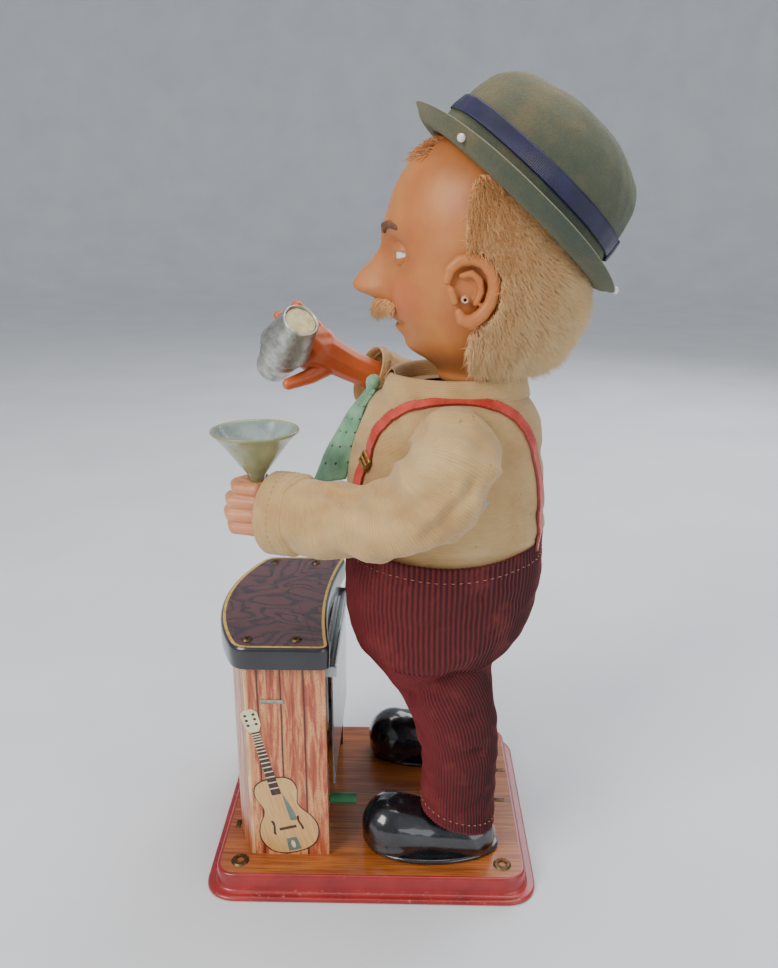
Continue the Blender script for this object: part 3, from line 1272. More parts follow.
def make_trousers():
    """Corduroy trousers in one sheet: wales as real ridges, a waist tuck, a seat fold and hems."""
    levels_down = np.linspace(1, 0, 34)
    seat = np.array([seat_ring(level) for level in levels_down])
    legs = {side: np.array(leg_rings(side, seat[-1], 58)) for side in (1, -1)}

    def dressed(rings):
        flat = rings.reshape(-1, 3)
        out = outward(rings).reshape(-1, 3)
        push = 0.45 * ripple(flat, 26, 5) + 0.25 * ripple(flat * (1, 1, 2.2), 13, 6)
        for s in (1, -1):
            push -= 4.6 * fold(flat, [(34 * s, 64, 97), (39 * s, 52, 93), (39 * s, 38, 88),
                                      (37 * s, 22, 82), (33 * s, 12, 76)], 2.3)
            push += 2.2 * fold(flat, [(36 * s, 60, 103), (40 * s, 46, 100), (39 * s, 28, 93),
                                      (35 * s, 10, 86)], 3.4)
            push -= 1.6 * fold(flat, [(38 * s, 40, 118), (40 * s, 24, 108), (38 * s, 6, 104)], 2.6)
            push -= 1.4 * fold(flat, [(36 * s, 58, 122), (39 * s, 44, 112), (40 * s, 30, 104)], 2.4)
            push -= 1.9 * fold(flat, [(41 * s, 48, 74), (40 * s, 32, 70), (34 * s, 18, 66)], 1.8)
            push -= 1.8 * fold(flat, [(36 * s, 20, 62), (42 * s, 32, 57), (42 * s, 46, 60)], 1.7)
            push -= 1.3 * fold(flat, [(30 * s, 18, 44), (40 * s, 26, 41), (43 * s, 38, 44)], 1.6)
            push -= 0.8 * fold(flat, [(42 * s, 46, 38), (44 * s, 34, 33), (38 * s, 22, 34)], 1.5)
        push -= 1.2 * fold(flat, [(0, -12, 128), (0, -11, 110), (0, -7, 92)], 1.2)
        push -= 0.8 * fold(flat, [(0, 67, 130), (0, 66, 110), (0, 58, 92)], 1.0)
        count = rings.shape[1]
        wave = np.cos(np.arange(count) * math.pi / 2) * 0.26
        return flat + out * (push + np.tile(wave, len(rings)))[:, None]

    points = [dressed(seat)]
    faces, uvs = [], []
    count = SEAT_POINTS
    wales_u = np.arange(count + 1) * WALE / 4
    run = np.concatenate([[0], np.cumsum(np.linalg.norm(np.diff(seat[:, 0], axis=0), axis=1))])
    for i in range(len(seat) - 1):
        for j in range(count):
            k = (j + 1) % count
            faces.append((i * count + k, i * count + j, (i + 1) * count + j, (i + 1) * count + k))
            uvs.append(((wales_u[j + 1], run[i]), (wales_u[j], run[i]), (wales_u[j], run[i + 1]),
                        (wales_u[j + 1], run[i + 1])))
    last = (len(seat) - 1) * count
    half = count // 2
    shared = {1: [last + j for j in range(half + 1)],
              -1: [last + j for j in range(half, count)] + [last]}
    base = len(seat) * count
    outline = {}
    for side in (1, -1):
        rings = legs[side]
        skin = dressed(rings).reshape(rings.shape)
        around = rings.shape[1]
        new_top = [base + k for k in range(around - half - 1)]
        points.append(skin[0, half + 1:])
        base += len(new_top)
        previous = shared[side] + new_top
        drop = run[-1]
        for i in range(1, len(rings)):
            row = [base + k for k in range(around)]
            points.append(skin[i])
            base += around
            step = np.linalg.norm(rings[i, 0] - rings[i - 1, 0])
            start = 0 if side > 0 else half
            for j in range(around):
                k = (j + 1) % around
                faces.append((previous[k], previous[j], row[j], row[k]))
                u = (start + j) * WALE / 4
                uvs.append(((u + WALE / 4, drop), (u, drop), (u, drop + step), (u + WALE / 4, drop + step)))
            previous = row
            drop += step
        tuck = skin[-1] - outward(rings)[-1] * 1.3 + np.array([0, 0, 0.4])
        deep = skin[-1] - outward(rings)[-1] * 1.5 + np.array([0, 0, 4.0])
        for ring in (tuck, deep):
            row = [base + k for k in range(around)]
            points.append(ring)
            base += around
            for j in range(around):
                k = (j + 1) % around
                faces.append((previous[k], previous[j], row[j], row[k]))
                uvs.append(((0, drop), (1, drop), (1, drop + 1), (0, drop + 1)))
            previous = row
        outline[side] = skin
    seat_skin = points[0].reshape(seat.shape)
    previous = list(range(count))
    for inward, down in ((1.2, 0.2), (1.6, 4.0)):
        ring = seat_skin[0] - outward(seat)[0] * inward - np.array([0, 0, down])
        row = [base + k for k in range(count)]
        points.append(ring)
        base += count
        for j in range(count):
            k = (j + 1) % count
            faces.append((previous[j], previous[k], row[k], row[j]))
            uvs.append(((0, 0), (1, 0), (1, 1), (0, 1)))
        previous = row
    trousers = piece("corduroy_trousers", np.vstack(points), faces, (corduroy,), None, uvs, crease=180)
    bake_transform(trousers)
    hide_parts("trousers")
    waist_row = seat_skin[4]
    loop = np.vstack([waist_row, waist_row[:1]])
    normals = outward(seat)[4]
    seam = stitches("waist_stitching", loop + np.vstack([normals, normals[:1]]) * 0.35, 2.0, 1.3, 0.34,
                    (stitch_thread,), "torso", "corduroy", np.vstack([normals, normals[:1]]))
    for side in (1, -1):
        skin = outline[side]
        row = skin[-5]
        normals = outward(legs[side])[-5]
        loop = np.vstack([row, row[:1]]) + np.vstack([normals, normals[:1]]) * 0.35
        stitches(f"{'left' if side > 0 else 'right'}_hem_stitching", loop, 1.9, 1.3, 0.34,
                             (stitch_thread,), "base", "corduroy", np.vstack([normals, normals[:1]]))
    return trousers


# ---------------------------------------------------------------- shirt, collar, tie and suspenders

CHEST = (0, 30, 155)    # a point inside the chest, which outward normals leave
COLLAR_Y = 31           # the middle of the collar, front to back


def shirt_section(z):
    """(front y, back y, half width, middle y) of the shirt at height z."""
    keys = np.array([(124, -8.7, 65.3, 36.6), (130, -9.4, 65.9, 36.4), (149, -9.2, 65.4, 35.0),
                     (160, -8.4, 64.7, 34.6),
                     (171, -6.6, 63.5, 34.4), (178, -4.2, 61.6, 34.0), (183, -1.6, 59.4, 32.6),
                     (186.5, 1.2, 57.4, 29.6),
                     (188.6, 4.6, 55.8, 25.5)])
    return [np.interp(z, keys[:, 0], keys[:, k]) for k in range(1, 4)]


def make_shirt():
    """The body of the shirt: blousy over the waist, with folds from the armpits and side seams."""
    heights = np.concatenate([np.linspace(124, 184, 66), np.linspace(184.6, 188.6, 9)])
    turns = np.linspace(0, 2 * math.pi, 220, endpoint=False) - math.pi / 2
    rings = []
    for z in heights:
        front, back, half = shirt_section(z)
        middle = (front + back) / 2
        c, s = np.cos(turns), np.sin(turns)
        square = 0.86 if z < 180 else 0.9
        x = half * np.sign(c) * np.abs(c) ** square
        y = middle + (back - front) / 2 * s
        rings.append(np.column_stack([x, y, np.full(len(turns), z)]))
    x, y = 22.5 * np.cos(turns), COLLAR_Y + 22.5 * np.sin(turns)
    rings.append(np.column_stack([x, y, np.full(len(turns), 188.9)]))
    rings.append(np.column_stack([x * 0.84, COLLAR_Y + (y - COLLAR_Y) * 0.84, np.full(len(turns), 188.2)]))
    rings = np.array(rings)
    flat = rings.reshape(-1, 3)
    out = outward(rings).reshape(-1, 3)
    side = np.abs(flat[:, 0])
    calm = np.clip((188 - flat[:, 2]) / 8, 0, 1) * np.where(side > 33, 0.35, 1.0)
    push = calm * (0.8 * ripple(flat * (1, 1, 0.6), 24, 11) + 0.45 * ripple(flat * (1, 1, 0.5), 12, 12))
    push += 1.2 * np.exp(-0.5 * ((flat[:, 2] - 136) / 4.5) ** 2) * (0.6
                                                            + 0.4 * np.sin(9 * np.arctan2(flat[:, 1] - 28,
                                                            flat[:, 0])))
    push -= 1.5 * np.clip((131 - flat[:, 2]) / 4, 0, 1)
    mirrored = flat.copy()
    mirrored[:, 0] = side
    push += calm * 0.9 * (0.5 - np.abs(ripple(flat * (1, 1, 0.55), 20, 14)))
    for line, depth, width in (([(34, 46, 160), (26, 60, 148), (12, 66, 140)], -1.8, 2.2),
                               ([(34, 42, 152), (28, 58, 140), (16, 65, 132)], -1.5, 2.0),
                               ([(34, 8, 162), (24, -4, 152), (12, -9, 146)], -1.7, 2.0),
                               ([(33, 4, 172), (22, -4, 168), (10, -7, 166)], -1.2, 1.8),
                               ([(34, 22, 128), (34.5, 21, 138), (34, 22, 149)], -0.8, 0.7),
                               ([(36, 6, 142), (34, 18, 134), (34, 34, 131)], -1.3, 1.9),
                               ([(34, 50, 168), (24, 60, 168), (10, 64, 166)], -0.7, 2.2)):
        push += depth * fold(mirrored, line, width)
    front_edge = fold(flat, [(1.5, -9.4, 128), (1.5, -9.2, 150), (1.5, -6.6, 171), (1.5, 1.2, 186)], 0.5)
    push += 0.45 * front_edge
    least = np.interp(flat[:, 2], [131, 136], [-2.5, -0.9])
    most = np.interp(flat[:, 2], [133.5, 139], [-0.5, 3.0])
    push = np.clip(push, least, most)
    points = flat + out * push[:, None]
    shirt = lofted("shirt_body", points.reshape(rings.shape), shirt_cotton, "torso", "shirt_cotton",
                   size=(226, 86))
    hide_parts("shirt")
    return shirt


CUFF_FROM = 0.90        # where the turned cuff starts, as a share of the sleeve


def sleeve(name, keys, seed, creases, body, node):
    """A loose sleeve with an armhole seam, creases and a turned cuff that is open at the wrist."""
    rows, count = 130, 160
    rings = limb(keys, rows, count)
    out = outward_axis(rings)
    flat_points = rings.reshape(-1, 3)
    share = np.repeat(np.linspace(0, 1, rows), count)
    calm = np.clip(share / 0.12, 0.15, 1) * np.clip((1.02 - share) / 0.14, 0.1, 1)
    push = calm * (1.0 * ripple(flat_points, 19, seed) + 0.5 * ripple(flat_points, 9, seed + 1))
    slanted = flat_points @ np.array([[1, 0, 0], [0, 0.7, 0.5], [0, -0.5, 1.2]])
    push += calm * 1.7 * (0.45 - np.abs(ripple(slanted, 21, seed + 5)))
    push += 0.8 * np.exp(-0.5 * ((share - 0.075) / 0.012) ** 2)
    for line, depth, width in creases:
        push += depth * fold(flat_points, line, width) * np.clip(calm * 1.6, 0, 1)
    push += np.clip((share - CUFF_FROM) / 0.006, 0, 1) * (1.15 + 5.0 * (share - CUFF_FROM))
    push -= 0.5 * np.exp(-0.5 * ((share - CUFF_FROM + 0.008) / 0.006) ** 2)
    skin = (flat_points + out.reshape(-1, 3) * push[:, None]).reshape(rings.shape)
    last, out_last = skin[-1], out[-1]
    axis = unit(skin[-1].mean(axis=0) - skin[-3].mean(axis=0))
    extra = [last + axis * 0.35 - out_last * 0.35, last + axis * 0.1 - out_last * 0.95,
             last - axis * 3 - out_last * 1.2,
             last - axis * 7 - out_last * 1.3]
    skin = np.concatenate([skin, np.array(extra)])
    piece_ = lofted(name, skin, shirt_cotton, body, "shirt_cotton", size=(2 * math.pi * 13, 70))
    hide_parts(node)
    row = skin[int(rows * 0.94)]
    loop = np.vstack([row, row[:1]])
    normals = np.vstack([out[int(rows * 0.94)], out[int(rows * 0.94)][:1]])
    seam = stitches(f"{name}_cuff_stitching", loop + normals * 0.12, 1.5, 0.8, 0.35, (shirt_thread,), body,
                    "shirt_cotton", normals)
    return piece_


def outward_axis(rings):
    out = rings - rings.mean(axis=1, keepdims=True)
    return out / np.linalg.norm(out, axis=2, keepdims=True)


def make_sleeves():
    left = [(34.2, 28.6, 173.6, 1, 0, 0.05, 14.6), (39.2, 28.6, 171.6, 0.85, -0.1, -0.4, 15.6),
            (43.6, 26.4, 165.4, 0.42, -0.4, -0.8, 16.0), (45.4, 19.4, 157.2, 0.05, -0.72, -0.7, 15.4),
            (44.5, 8, 151, -0.2, -0.93, -0.32, 13.9), (38.5, -6, 148.6, -0.42, -0.9, -0.12, 13.4),
            (31.5, -20, 147.6, -0.45, -0.89, -0.06, 13.6), (24.4, -34.2, 146.4, -0.43, -0.9, -0.05, 13.4)]
    creases = [([(58, 26, 166), (57, 10, 155), (47, -8, 157)], -2.6, 1.9),
               ([(52, 8, 165), (45, -8, 162), (36, -22, 158)], -2.0, 1.8),
               ([(57, 16, 147), (50, 0, 143), (38, -18, 141)], 1.6, 2.8),
               ([(58, 36, 168), (59, 22, 154), (52, 8, 142)], -2.4, 1.9),
               ([(50, 38, 164), (52, 26, 150), (46, 12, 140)], -1.8, 1.9),
               ([(46, -14, 155), (42, -23, 150), (34, -31, 153)], -1.8, 1.7),
               ([(44, -12, 146), (38, -26, 144), (30, -33, 138)], -1.6, 1.8),
               ([(36, 14, 168), (34, 10, 176), (33, 16, 184)], 1.4, 1.2)]
    sleeve("left_shirt_sleeve", left, 21, creases, "left_arm", "left_sleeve")
    right = [(-34.4, 28, 176, -1, 0, 0.05, 12.2), (-39.5, 26.5, 176.2, -0.8, -0.5, 0.1, 12.2),
             (-43, 19, 177.6, -0.1, -0.95, 0.28, 12.0), (-40.5, 10, 180.8, 0.25, -0.88, 0.36, 11.3),
             (-37.2, 2.5, 184, 0.33, -0.85, 0.38, 10.8), (-34.4, -3.2, 186.4, 0.36, -0.84, 0.4, 10.6)]
    creases = [([(-54, 18, 184), (-50, 8, 186), (-42, 0, 190)], -1.7, 1.6),
               ([(-54, 14, 172), (-48, 6, 176), (-40, -2, 178)], -1.6, 1.6)]
    sleeve("right_shirt_sleeve", right, 31, creases, "right_arm", "right_sleeve")


def make_collar():
    """A narrow turned-down collar, open at the throat, with two short points."""
    count = 120
    opening = 0.20
    turns = np.linspace(-math.pi / 2 + opening, 1.5 * math.pi - opening, count)
    profile = [(22.6, 187.4, 0), (22.4, 190.0, 0), (22.9, 193.2, 0), (23.9, 194.6, 0.1),
               (24.9, 193.9, 0.35),
               (25.7, 191.4, 0.75), (26.5, 188.6, 1.0), (26.9, 186.6, 1.0)]
    rings = []
    for radius, z, share in smooth_line(profile, 22):
        ring = []
        for turn in turns:
            near = max(0.0, 1 - min(turn - turns[0], turns[-1] - turn) / 0.55)
            point = 5.2 * near ** 2 * share
            r = radius + 1.2 * near * share
            ring.append((r * math.cos(turn), COLLAR_Y + r * math.sin(turn) * 1.02 - 1.0 * near * share,
                         z - point + 0.25 * math.sin(3 * turn) * share))
        rings.append(ring)
    collar = lofted("folded_collar", rings, shirt_cotton, None, None, closed=False, size=(150, 16))
    thicken(collar, 0.55, 0, "torso")
    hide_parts("shirt_collar")


def make_tie():
    """A flat printed tie, cut straight, that stands off the chest, under a small knot."""
    line = smooth_line([(0, -0.6, 187.5), (0, -5.6, 180.5), (0, -10.0, 172), (0, -13.8, 163),
                        (0, -17.8, 150.8)], 34)
    rings = []
    for i, (_, y, z) in enumerate(line):
        share = i / (len(line) - 1)
        half = 3.4 + 4.7 * share ** 0.8
        turn = math.radians(18 + 38 * share)
        ring = []
        for k in np.linspace(-1, 1, 19):
            cup = 1.2 * (k * k) * (0.4 + share) + 0.3 * math.sin(5 * share * math.pi + k)
            across = half * k
            ring.append((across * math.cos(turn) - cup * math.sin(turn),
                         y + across * math.sin(turn) + cup * math.cos(turn),
                         z + 0.25 * cup + 0.22 * across * share))
        rings.append(ring)
    tie = lofted("cloth_tie", rings, tie_cloth, None, None, closed=False, size=(14, 41))
    thicken(tie, 0.9, 0, "torso")
    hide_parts("necktie")
    knot = blob("tie_knot", [((-2.4, 0.6, 190.2), (2.4, 0.6, 190.2), 2.3, 2.3),
                             ((0, 0.2, 190), (0, -0.4, 186.6), 2.9, 2.0)],
                [], 0.35, 5, (tie_cloth,), "torso")
    layer = knot.data.uv_layers.new(name="cloth")
    for loop in knot.data.loops:
        co = knot.data.vertices[loop.vertex_index].co / MM
        layer.data[loop.index].uv = (co.x + 1.6, co.z)


def make_suspenders(shirt):
    """Two red straps over the shoulders, with a brass slide on each at the chest."""
    tree = skin_tree(shirt)
    for side in (1, -1):
        name = "left" if side > 0 else "right"
        line = [(20, -10, 131), (21, -10, 145), (22.5, -9, 157), (24, -7, 165), (26, -3, 175),
                (27.5, 4, 184),
                (28, 12, 188.5), (28, 22, 190.5), (27.6, 34, 190.5), (27, 45, 187.5), (25.5, 54, 181.5),
                (23.5, 60, 172), (21.5, 63.5, 160), (20, 66, 145), (19, 66.5, 131)]
        line = [(x * side, y, z) for x, y, z in line]
        rings = ribbon(tree, line, 4.4, 0.35, 0.75, 90, CHEST)
        points, faces, _, _ = loft(rings, True, (True, True))
        uvs = []
        for f in faces:
            uvs.append([((-2.2, -2.15, 2.15, 2.2)[v % 4], v // 4 * 2.0) for v in f])
        strap = piece(f"{name}_suspender", points, faces, (red_vinyl,), "torso", uvs, crease=50,
                      slot="red_vinyl")
        if side > 0:
            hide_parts("suspenders")
        rail = rings[:, 1:3].mean(axis=1)
        for edge, k in (("outer", 1), ("inner", 2)):
            border = rings[:, k] * 0.82 + rail * 0.18
            normals = np.array([unit(a - np.array(CHEST)) for a in border])
            stitches(f"{name}_suspender_{edge}_stitching", border + normals * 0.03, 1.1, 0.7, 0.22,
                     (stitch_thread,),
                     "torso", "red_vinyl", normals)
        make_slide(f"{name}_suspender_slide", rings[19:22], rings[20])


def make_slide(name, around, ring):
    """A brass slide: a rectangular wire frame with a bar across, on the strap."""
    centre = ring.mean(axis=0)
    side = unit(ring[3] - ring[0])
    ahead = unit(around[2].mean(axis=0) - around[0].mean(axis=0))
    out = unit(np.cross(side, ahead))
    if out @ (centre - np.array(CHEST)) < 0:
        out = -out
    corners = [(-3.2, -2.8), (3.2, -2.8), (3.2, 2.8), (-3.2, 2.8)]
    outline = rounded([np.linspace(a, b, 6) for a, b in zip(corners, corners[1:] + corners[:1])], 1.0, 4)
    rings = []
    for d, lift in ((0, 0.35), (0, 1.0), (0.3, 1.3), (0.8, 1.3), (1.1, 1.0), (1.1, 0.35)):
        flat = inset(outline, d)
        rings.append([centre + side * u + ahead * v + out * lift for u, v in flat])
    lofted(name, rings, brass, "torso", "brass", 50)
    bar = lathe([(0.0, -2.6), (0.55, -2.5), (0.6, 0), (0.55, 2.5), (0.0, 2.6)], 12, centre + out * 1.0,
                side)
    made = lofted(f"{name}_bar", bar, brass, "torso", "brass", 40)
    if name.startswith("left"):
        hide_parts("suspender_buckles")


# ---------------------------------------------------------------- head

HEAD_Y = 38.0
EYE = (10.9, 13.2, 237.0)
CHEEK = (17, 9, 222)
LIPS = (2.5, 212.6)
HEAD_PROFILE = [(0, 191.2), (11.0, 191.4), (13.4, 192.6), (13.8, 195.4), (16.2, 198.8), (21.0, 203.8),
                (25.6, 211), (29.3, 219), (31.8, 229), (33, 241),
                (32.4, 251), (29.2, 260.5), (24, 268), (16.5, 274), (8, 276.8), (0, 277.4)]


def head_rings():
    """The head and the neck before the features are raised."""
    line = smooth_line(HEAD_PROFILE, 230)
    line[:, 0] = np.maximum(line[:, 0], 0.02)
    count = 260
    turns = np.linspace(0, 2 * math.pi, count, endpoint=False)
    return np.array([np.column_stack([r * np.cos(turns), HEAD_Y + r * np.sin(turns), np.full(count, z)])
                     for r, z in line])


def sculpt(points):
    """Raises and sinks the features of a calm, plain face on the front of the head."""
    x, _, z = EYE
    moves = [((0, 4.8, 226.6), (4.3, 9, 5.0), (0, -8.2, -0.4)), ((0, 6, 233), (3.2, 9, 6.5), (0, -4.4, 0)),
             ((0, 2, 225.2), (3.4, 7, 2.6), (0, -3.2, -0.6))]
    moves += [((0, 6.5, 213), (10, 11, 6), (0, -2.2, 0)), ((0, 5, 215.0), (6.8, 8, 1.3), (0, -1.5, 0)),
              ((0, 5, 210.4), (5.6, 8, 1.7), (0, -1.9, 0)), ((0, 5, 212.7), (7.2, 8, 0.55), (0, 1.6, 0)),
              ((0, 10, 203.0), (7.5, 11, 4.2), (0, -4.4, -0.6)), ((0, 8, 207.0), (5, 8, 1.3), (0, 1.0, 0))]
    for s in (-1, 1):
        moves += [((x * s, 8, z + 0.3), (5.6, 9, 4.4), (0, 4.4, 0)),
                  ((x * s * 0.98, 7.4, z + 8.2), (7.5, 9, 2.6), (0, -1.7, 0)),
                  ((3.9 * s, 3.6, 224.2), (1.9, 6, 2.0), (0.9 * s, -2.4, 0)),
                  ((CHEEK[0] * s, CHEEK[1], CHEEK[2]), (7.5, 11, 6.5), (1.4 * s, -2.6, 0)),
                  ((8.4 * s, 5, 219), (1.8, 7, 4.5), (0, 0.9, 0)),
                  ((7.6 * s, 6, 212.4), (1.6, 7, 1.3), (0, 0.9, 0)),
                  ((20 * s, 16, 206), (7, 12, 5), (1.2 * s, -0.8, 0)),
                  ((26 * s, 24, 246), (7, 11, 8), (-1.1 * s, 0, 0))]
    made = points.copy()
    for centre, size, move in moves:
        made += gauss(points, centre, size)[:, None] * np.array(move)
    return made


def make_head():
    """Vinyl head with sculpted features, eyelids, painted eyes, brows and ears."""
    rings = head_rings()
    skin = sculpt(rings.reshape(-1, 3)).reshape(rings.shape)
    head = lofted("vinyl_head", skin, face_vinyl, "head", "face_vinyl")
    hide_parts("head_shell")
    for side in (-1, 1):
        name = "left" if side > 0 else "right"
        centre = np.array([EYE[0] * side, EYE[1], EYE[2]])
        lofted(f"{name}_eye", ball_rings(centre, 4.8, 48, 32), eye_paint, "head", "pin_white")
        for lid, low, high, reach in (("upper", 12, 86, 5.35), ("lower", -86, -22, 5.3)):
            shell = lofted(f"{name}_{lid}_lid", lid_rings(centre, reach, low, high), face_vinyl, None, None,
                           closed=False)
            thick = shell.modifiers.new("vinyl", "SOLIDIFY")
            thick.thickness = 0.7 * MM
            thick.offset = 0
            round_ = shell.modifiers.new("round", "BEVEL")
            round_.width = 0.18 * MM
            round_.segments = 2
            bake(shell)
            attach(shell, "head")
        brow = [((x * side, y, z), r) for x, y, z, r in
                ((5.6, 4.6, 244.4, 1.0), (9.0, 4.8, 246.2, 1.4), (12.8, 6.4, 246.8, 1.35),
                 (16.6, 9.2, 245.6, 0.9))]
        rods = [(a[0], b[0], a[1], b[1]) for a, b in zip(brow, brow[1:])]
        blob(f"{name}_brow", rods, [], 0.3, 4, (brow_brown,), "head")
        make_ear(side, name)


def ball_rings(centre, radius, count, rows):
    """Rings of a ball whose pole faces forwards."""
    angles = np.linspace(0.02, math.pi - 0.02, rows)
    turns = np.linspace(0, 2 * math.pi, count, endpoint=False)
    return np.array([np.column_stack([radius * math.sin(a) * np.cos(turns),
                                      np.full(count, -radius * math.cos(a)),
                                      radius * math.sin(a) * np.sin(turns)]) + centre for a in angles])


def lid_rings(centre, radius, low, high):
    """A patch of a ball between two angles above or below its middle, curved like a lid."""
    rows = []
    for share in np.linspace(0, 1, 10):
        ring = []
        for turn in np.linspace(-92, 92, 34):
            bow = 1 - (turn / 92) ** 2
            edge = low if abs(low) < abs(high) else high
            far = high if abs(low) < abs(high) else low
            tilt = math.radians(edge * (0.25 + 0.75 * bow) * (1 - share) + far * share)
            a = math.radians(turn)
            ring.append(centre
                        + radius * np.array([math.sin(a) * math.cos(tilt), -math.cos(a) * math.cos(tilt),
                                                    math.sin(tilt)]))
        rows.append(ring)
    return rows


def make_ear(side, name):
    """A rounded ear: outer rim, inner ridge, bowl and lobe."""
    rods = []
    path = [(25.6, 229.6, 1.5), (26.6, 233.2, 1.8), (29.6, 235.9, 2.0), (33.8, 236.6, 2.1),
            (37.6, 235.2, 2.1),
            (40.2, 231.6, 2.1), (40.8, 227.0, 2.1), (39.6, 222.4, 2.1), (37.0, 218.8, 2.3),
            (33.6, 216.4, 2.6),
            (30.8, 217.0, 2.2), (29.6, 219.6, 1.5)]
    for i, ((y0, z0, r0), (y1, z1, r1)) in enumerate(zip(path, path[1:])):
        out0 = 33.2 + 0.45 * min(i, 4)
        out1 = 33.2 + 0.45 * min(i + 1, 4)
        rods.append(((out0 * side, y0, z0), (out1 * side, y1, z1), r0, r1))
    ridge = [(30.4, 231.2, 1.1), (33.6, 232.0, 1.3), (36.2, 229.8, 1.4), (36.8, 226, 1.3),
             (35.2, 222.4, 1.2)]
    for (y0, z0, r0), (y1, z1, r1) in zip(ridge, ridge[1:]):
        rods.append(((33.4 * side, y0, z0), (33.4 * side, y1, z1), r0, r1))
    rods.append(((33.4 * side, 27.0, 226.6), (33.4 * side, 28.2, 222.8), 1.5, 1.4))
    bowl = [((30.6 * side, 33.4, 226.4), 8.4, (0.2, 0.86, 1.1))]
    blob(f"{name}_ear", rods, bowl, 0.4, 5, (face_vinyl,), "head")
    nub = [(0.55, -1.0), (0.6, 1.9), (0.9, 2.1), (1.15, 1.8), (1.2, 0.6), (1.5, -1.0)]
    rings = lathe(nub, 24, (33.0 * side, 31.6, 223.6), (side, 0, 0))
    tube = lofted(f"{name}_ear_tube", rings, tube_plastic, "head", "tube_plastic", 50)
    if side > 0:
        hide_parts("ear_tubes")


# ---------------------------------------------------------------- hair and hat

HAT_AT = np.array([0, 50, 254.0])
HAT_TILT = math.radians(42)
HAT_UP = np.array([0, math.sin(HAT_TILT), math.cos(HAT_TILT)])
HAT_AHEAD = np.array([0, -math.cos(HAT_TILT), math.sin(HAT_TILT)])


STRANDS = 46000
WIG_Y = 40              # the wig's middle, front to back


def above_brim(points):
    """Height above the plane of the hat's brim."""
    return (points - HAT_AT) @ HAT_UP


def make_hair():
    """A plush wig below the hat: a backing and thousands of short curved strands."""
    profile = [(19.5, 197.5), (23.5, 200.5), (28.0, 205), (32.6, 213), (34.6, 222), (35.2, 235),
               (34.8, 250), (31.8, 262)]
    line = smooth_line(profile, 60)
    turns = np.linspace(math.radians(-14), math.radians(194), 150)
    rings = np.array([np.column_stack([r * np.cos(turns), WIG_Y + r * np.sin(turns),
                                       np.full(len(turns), z)])
                      for r, z in line])

    def on_wig(p):
        x, y, z = np.abs(p[:, 0]), p[:, 1], p[:, 2]
        hairline = np.interp(z, [196, 206, 216, 222, 232, 240, 250, 262],
                             [34, 33.0, 34.5, 36, 33, 27.5, 31.5, 34.5])
        hairline = hairline + 0.8 * np.sin(z * 1.3)
        ear = ((y - 33.6) / 9.4) ** 2 + ((z - 226.5) / 12.0) ** 2 < 1
        return (y > hairline) & (above_brim(p) < 1.5) & ~(ear & (x > 24))

    cells = []
    count = rings.shape[1]
    flat = rings.reshape(-1, 3)
    keep = on_wig(flat)
    for i in range(len(rings) - 1):
        for j in range(count - 1):
            corners = (i * count + j, i * count + j + 1, (i + 1) * count + j + 1, (i + 1) * count + j)
            if all(keep[c] for c in corners):
                cells.append(corners)
    backing = piece("plush_backing", flat, cells, (plush,), "head", crease=180, slot="plush")
    tidy = bmesh.new()
    tidy.from_mesh(backing.data)
    bmesh.ops.delete(tidy, geom=[v for v in tidy.verts if not v.link_faces], context="VERTS")
    tidy.to_mesh(backing.data)
    tidy.free()
    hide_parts("hair")
    draw = np.random.default_rng(7)
    wanted = STRANDS
    rows = draw.uniform(0, len(line) - 1.001, wanted * 2)
    weight = np.interp(rows, np.arange(len(line)), line[:, 0]) / 36
    rows = rows[draw.uniform(size=len(rows)) < weight][:wanted]
    turn = draw.uniform(turns[0], turns[-1], len(rows))
    radius = np.interp(rows, np.arange(len(line)), line[:, 0])
    high = np.interp(rows, np.arange(len(line)), line[:, 1])
    roots = np.column_stack([radius * np.cos(turn), WIG_Y + radius * np.sin(turn), high])
    ways = np.column_stack([np.cos(turn), np.sin(turn), np.full(len(turn), -0.25)])
    chosen = on_wig(roots)
    roots, ways = roots[chosen], ways[chosen]
    clump = ripple(roots, 6, 41)
    lengths = 5.2 + 1.0 * clump
    lengths *= np.clip((2.5 - above_brim(roots)) / 8, 0.45, 1)
    points, faces = tufts(roots, ways, lengths, 0.17, np.array([0, 0.25, -0.8]), 42, 0.3, False)
    piece("plush_hair", points, faces, (plush,), "head", crease=180, slot="plush")
    count = 420
    turn = draw.uniform(math.radians(-118), math.radians(-50), count)
    high = draw.uniform(268.5, 275.0, count)
    reach = np.interp(high, [p[1] for p in HEAD_PROFILE], [p[0] for p in HEAD_PROFILE])
    roots = np.column_stack([reach * np.cos(turn), HEAD_Y + reach * np.sin(turn), high])
    ways = np.column_stack([np.cos(turn) * 0.5, np.sin(turn) * 0.9, np.full(count, 0.15)])
    points, faces = tufts(roots, ways, np.full(count, 4.2), 0.2, np.array([0, -0.4, -1.0]), 43, 0.4)
    piece("forehead_tuft", points, faces, (plush,), "head", crease=180, slot="plush")


def make_moustache():
    """Two plush lobes under the nose."""
    draw = np.random.default_rng(17)
    count = 1500
    x = draw.uniform(-10.5, 10.5, count)
    share = np.abs(x) / 10.5
    y = 2.2 + 4.6 * share ** 1.6 + draw.uniform(-0.4, 0.8, count)
    z = 219.8 + 1.2 * np.sin(share * math.pi) - 1.6 * share + draw.uniform(-1.2, 1.2, count)
    roots = np.column_stack([x, y + 1.2, z])
    ways = np.column_stack([0.5 * np.sign(x) * (0.3 + share), np.full(count, -0.75), np.full(count, -0.55)])
    lengths = 5.6 * (1 - 0.45 * share ** 2)
    points, faces = tufts(roots, ways, lengths, 0.3, np.array([0, 0.1, -1.0]), 18, 0.25)
    hair = piece("plush_moustache", points, faces, (plush,), "head", crease=180, slot="plush")
    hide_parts("moustache")


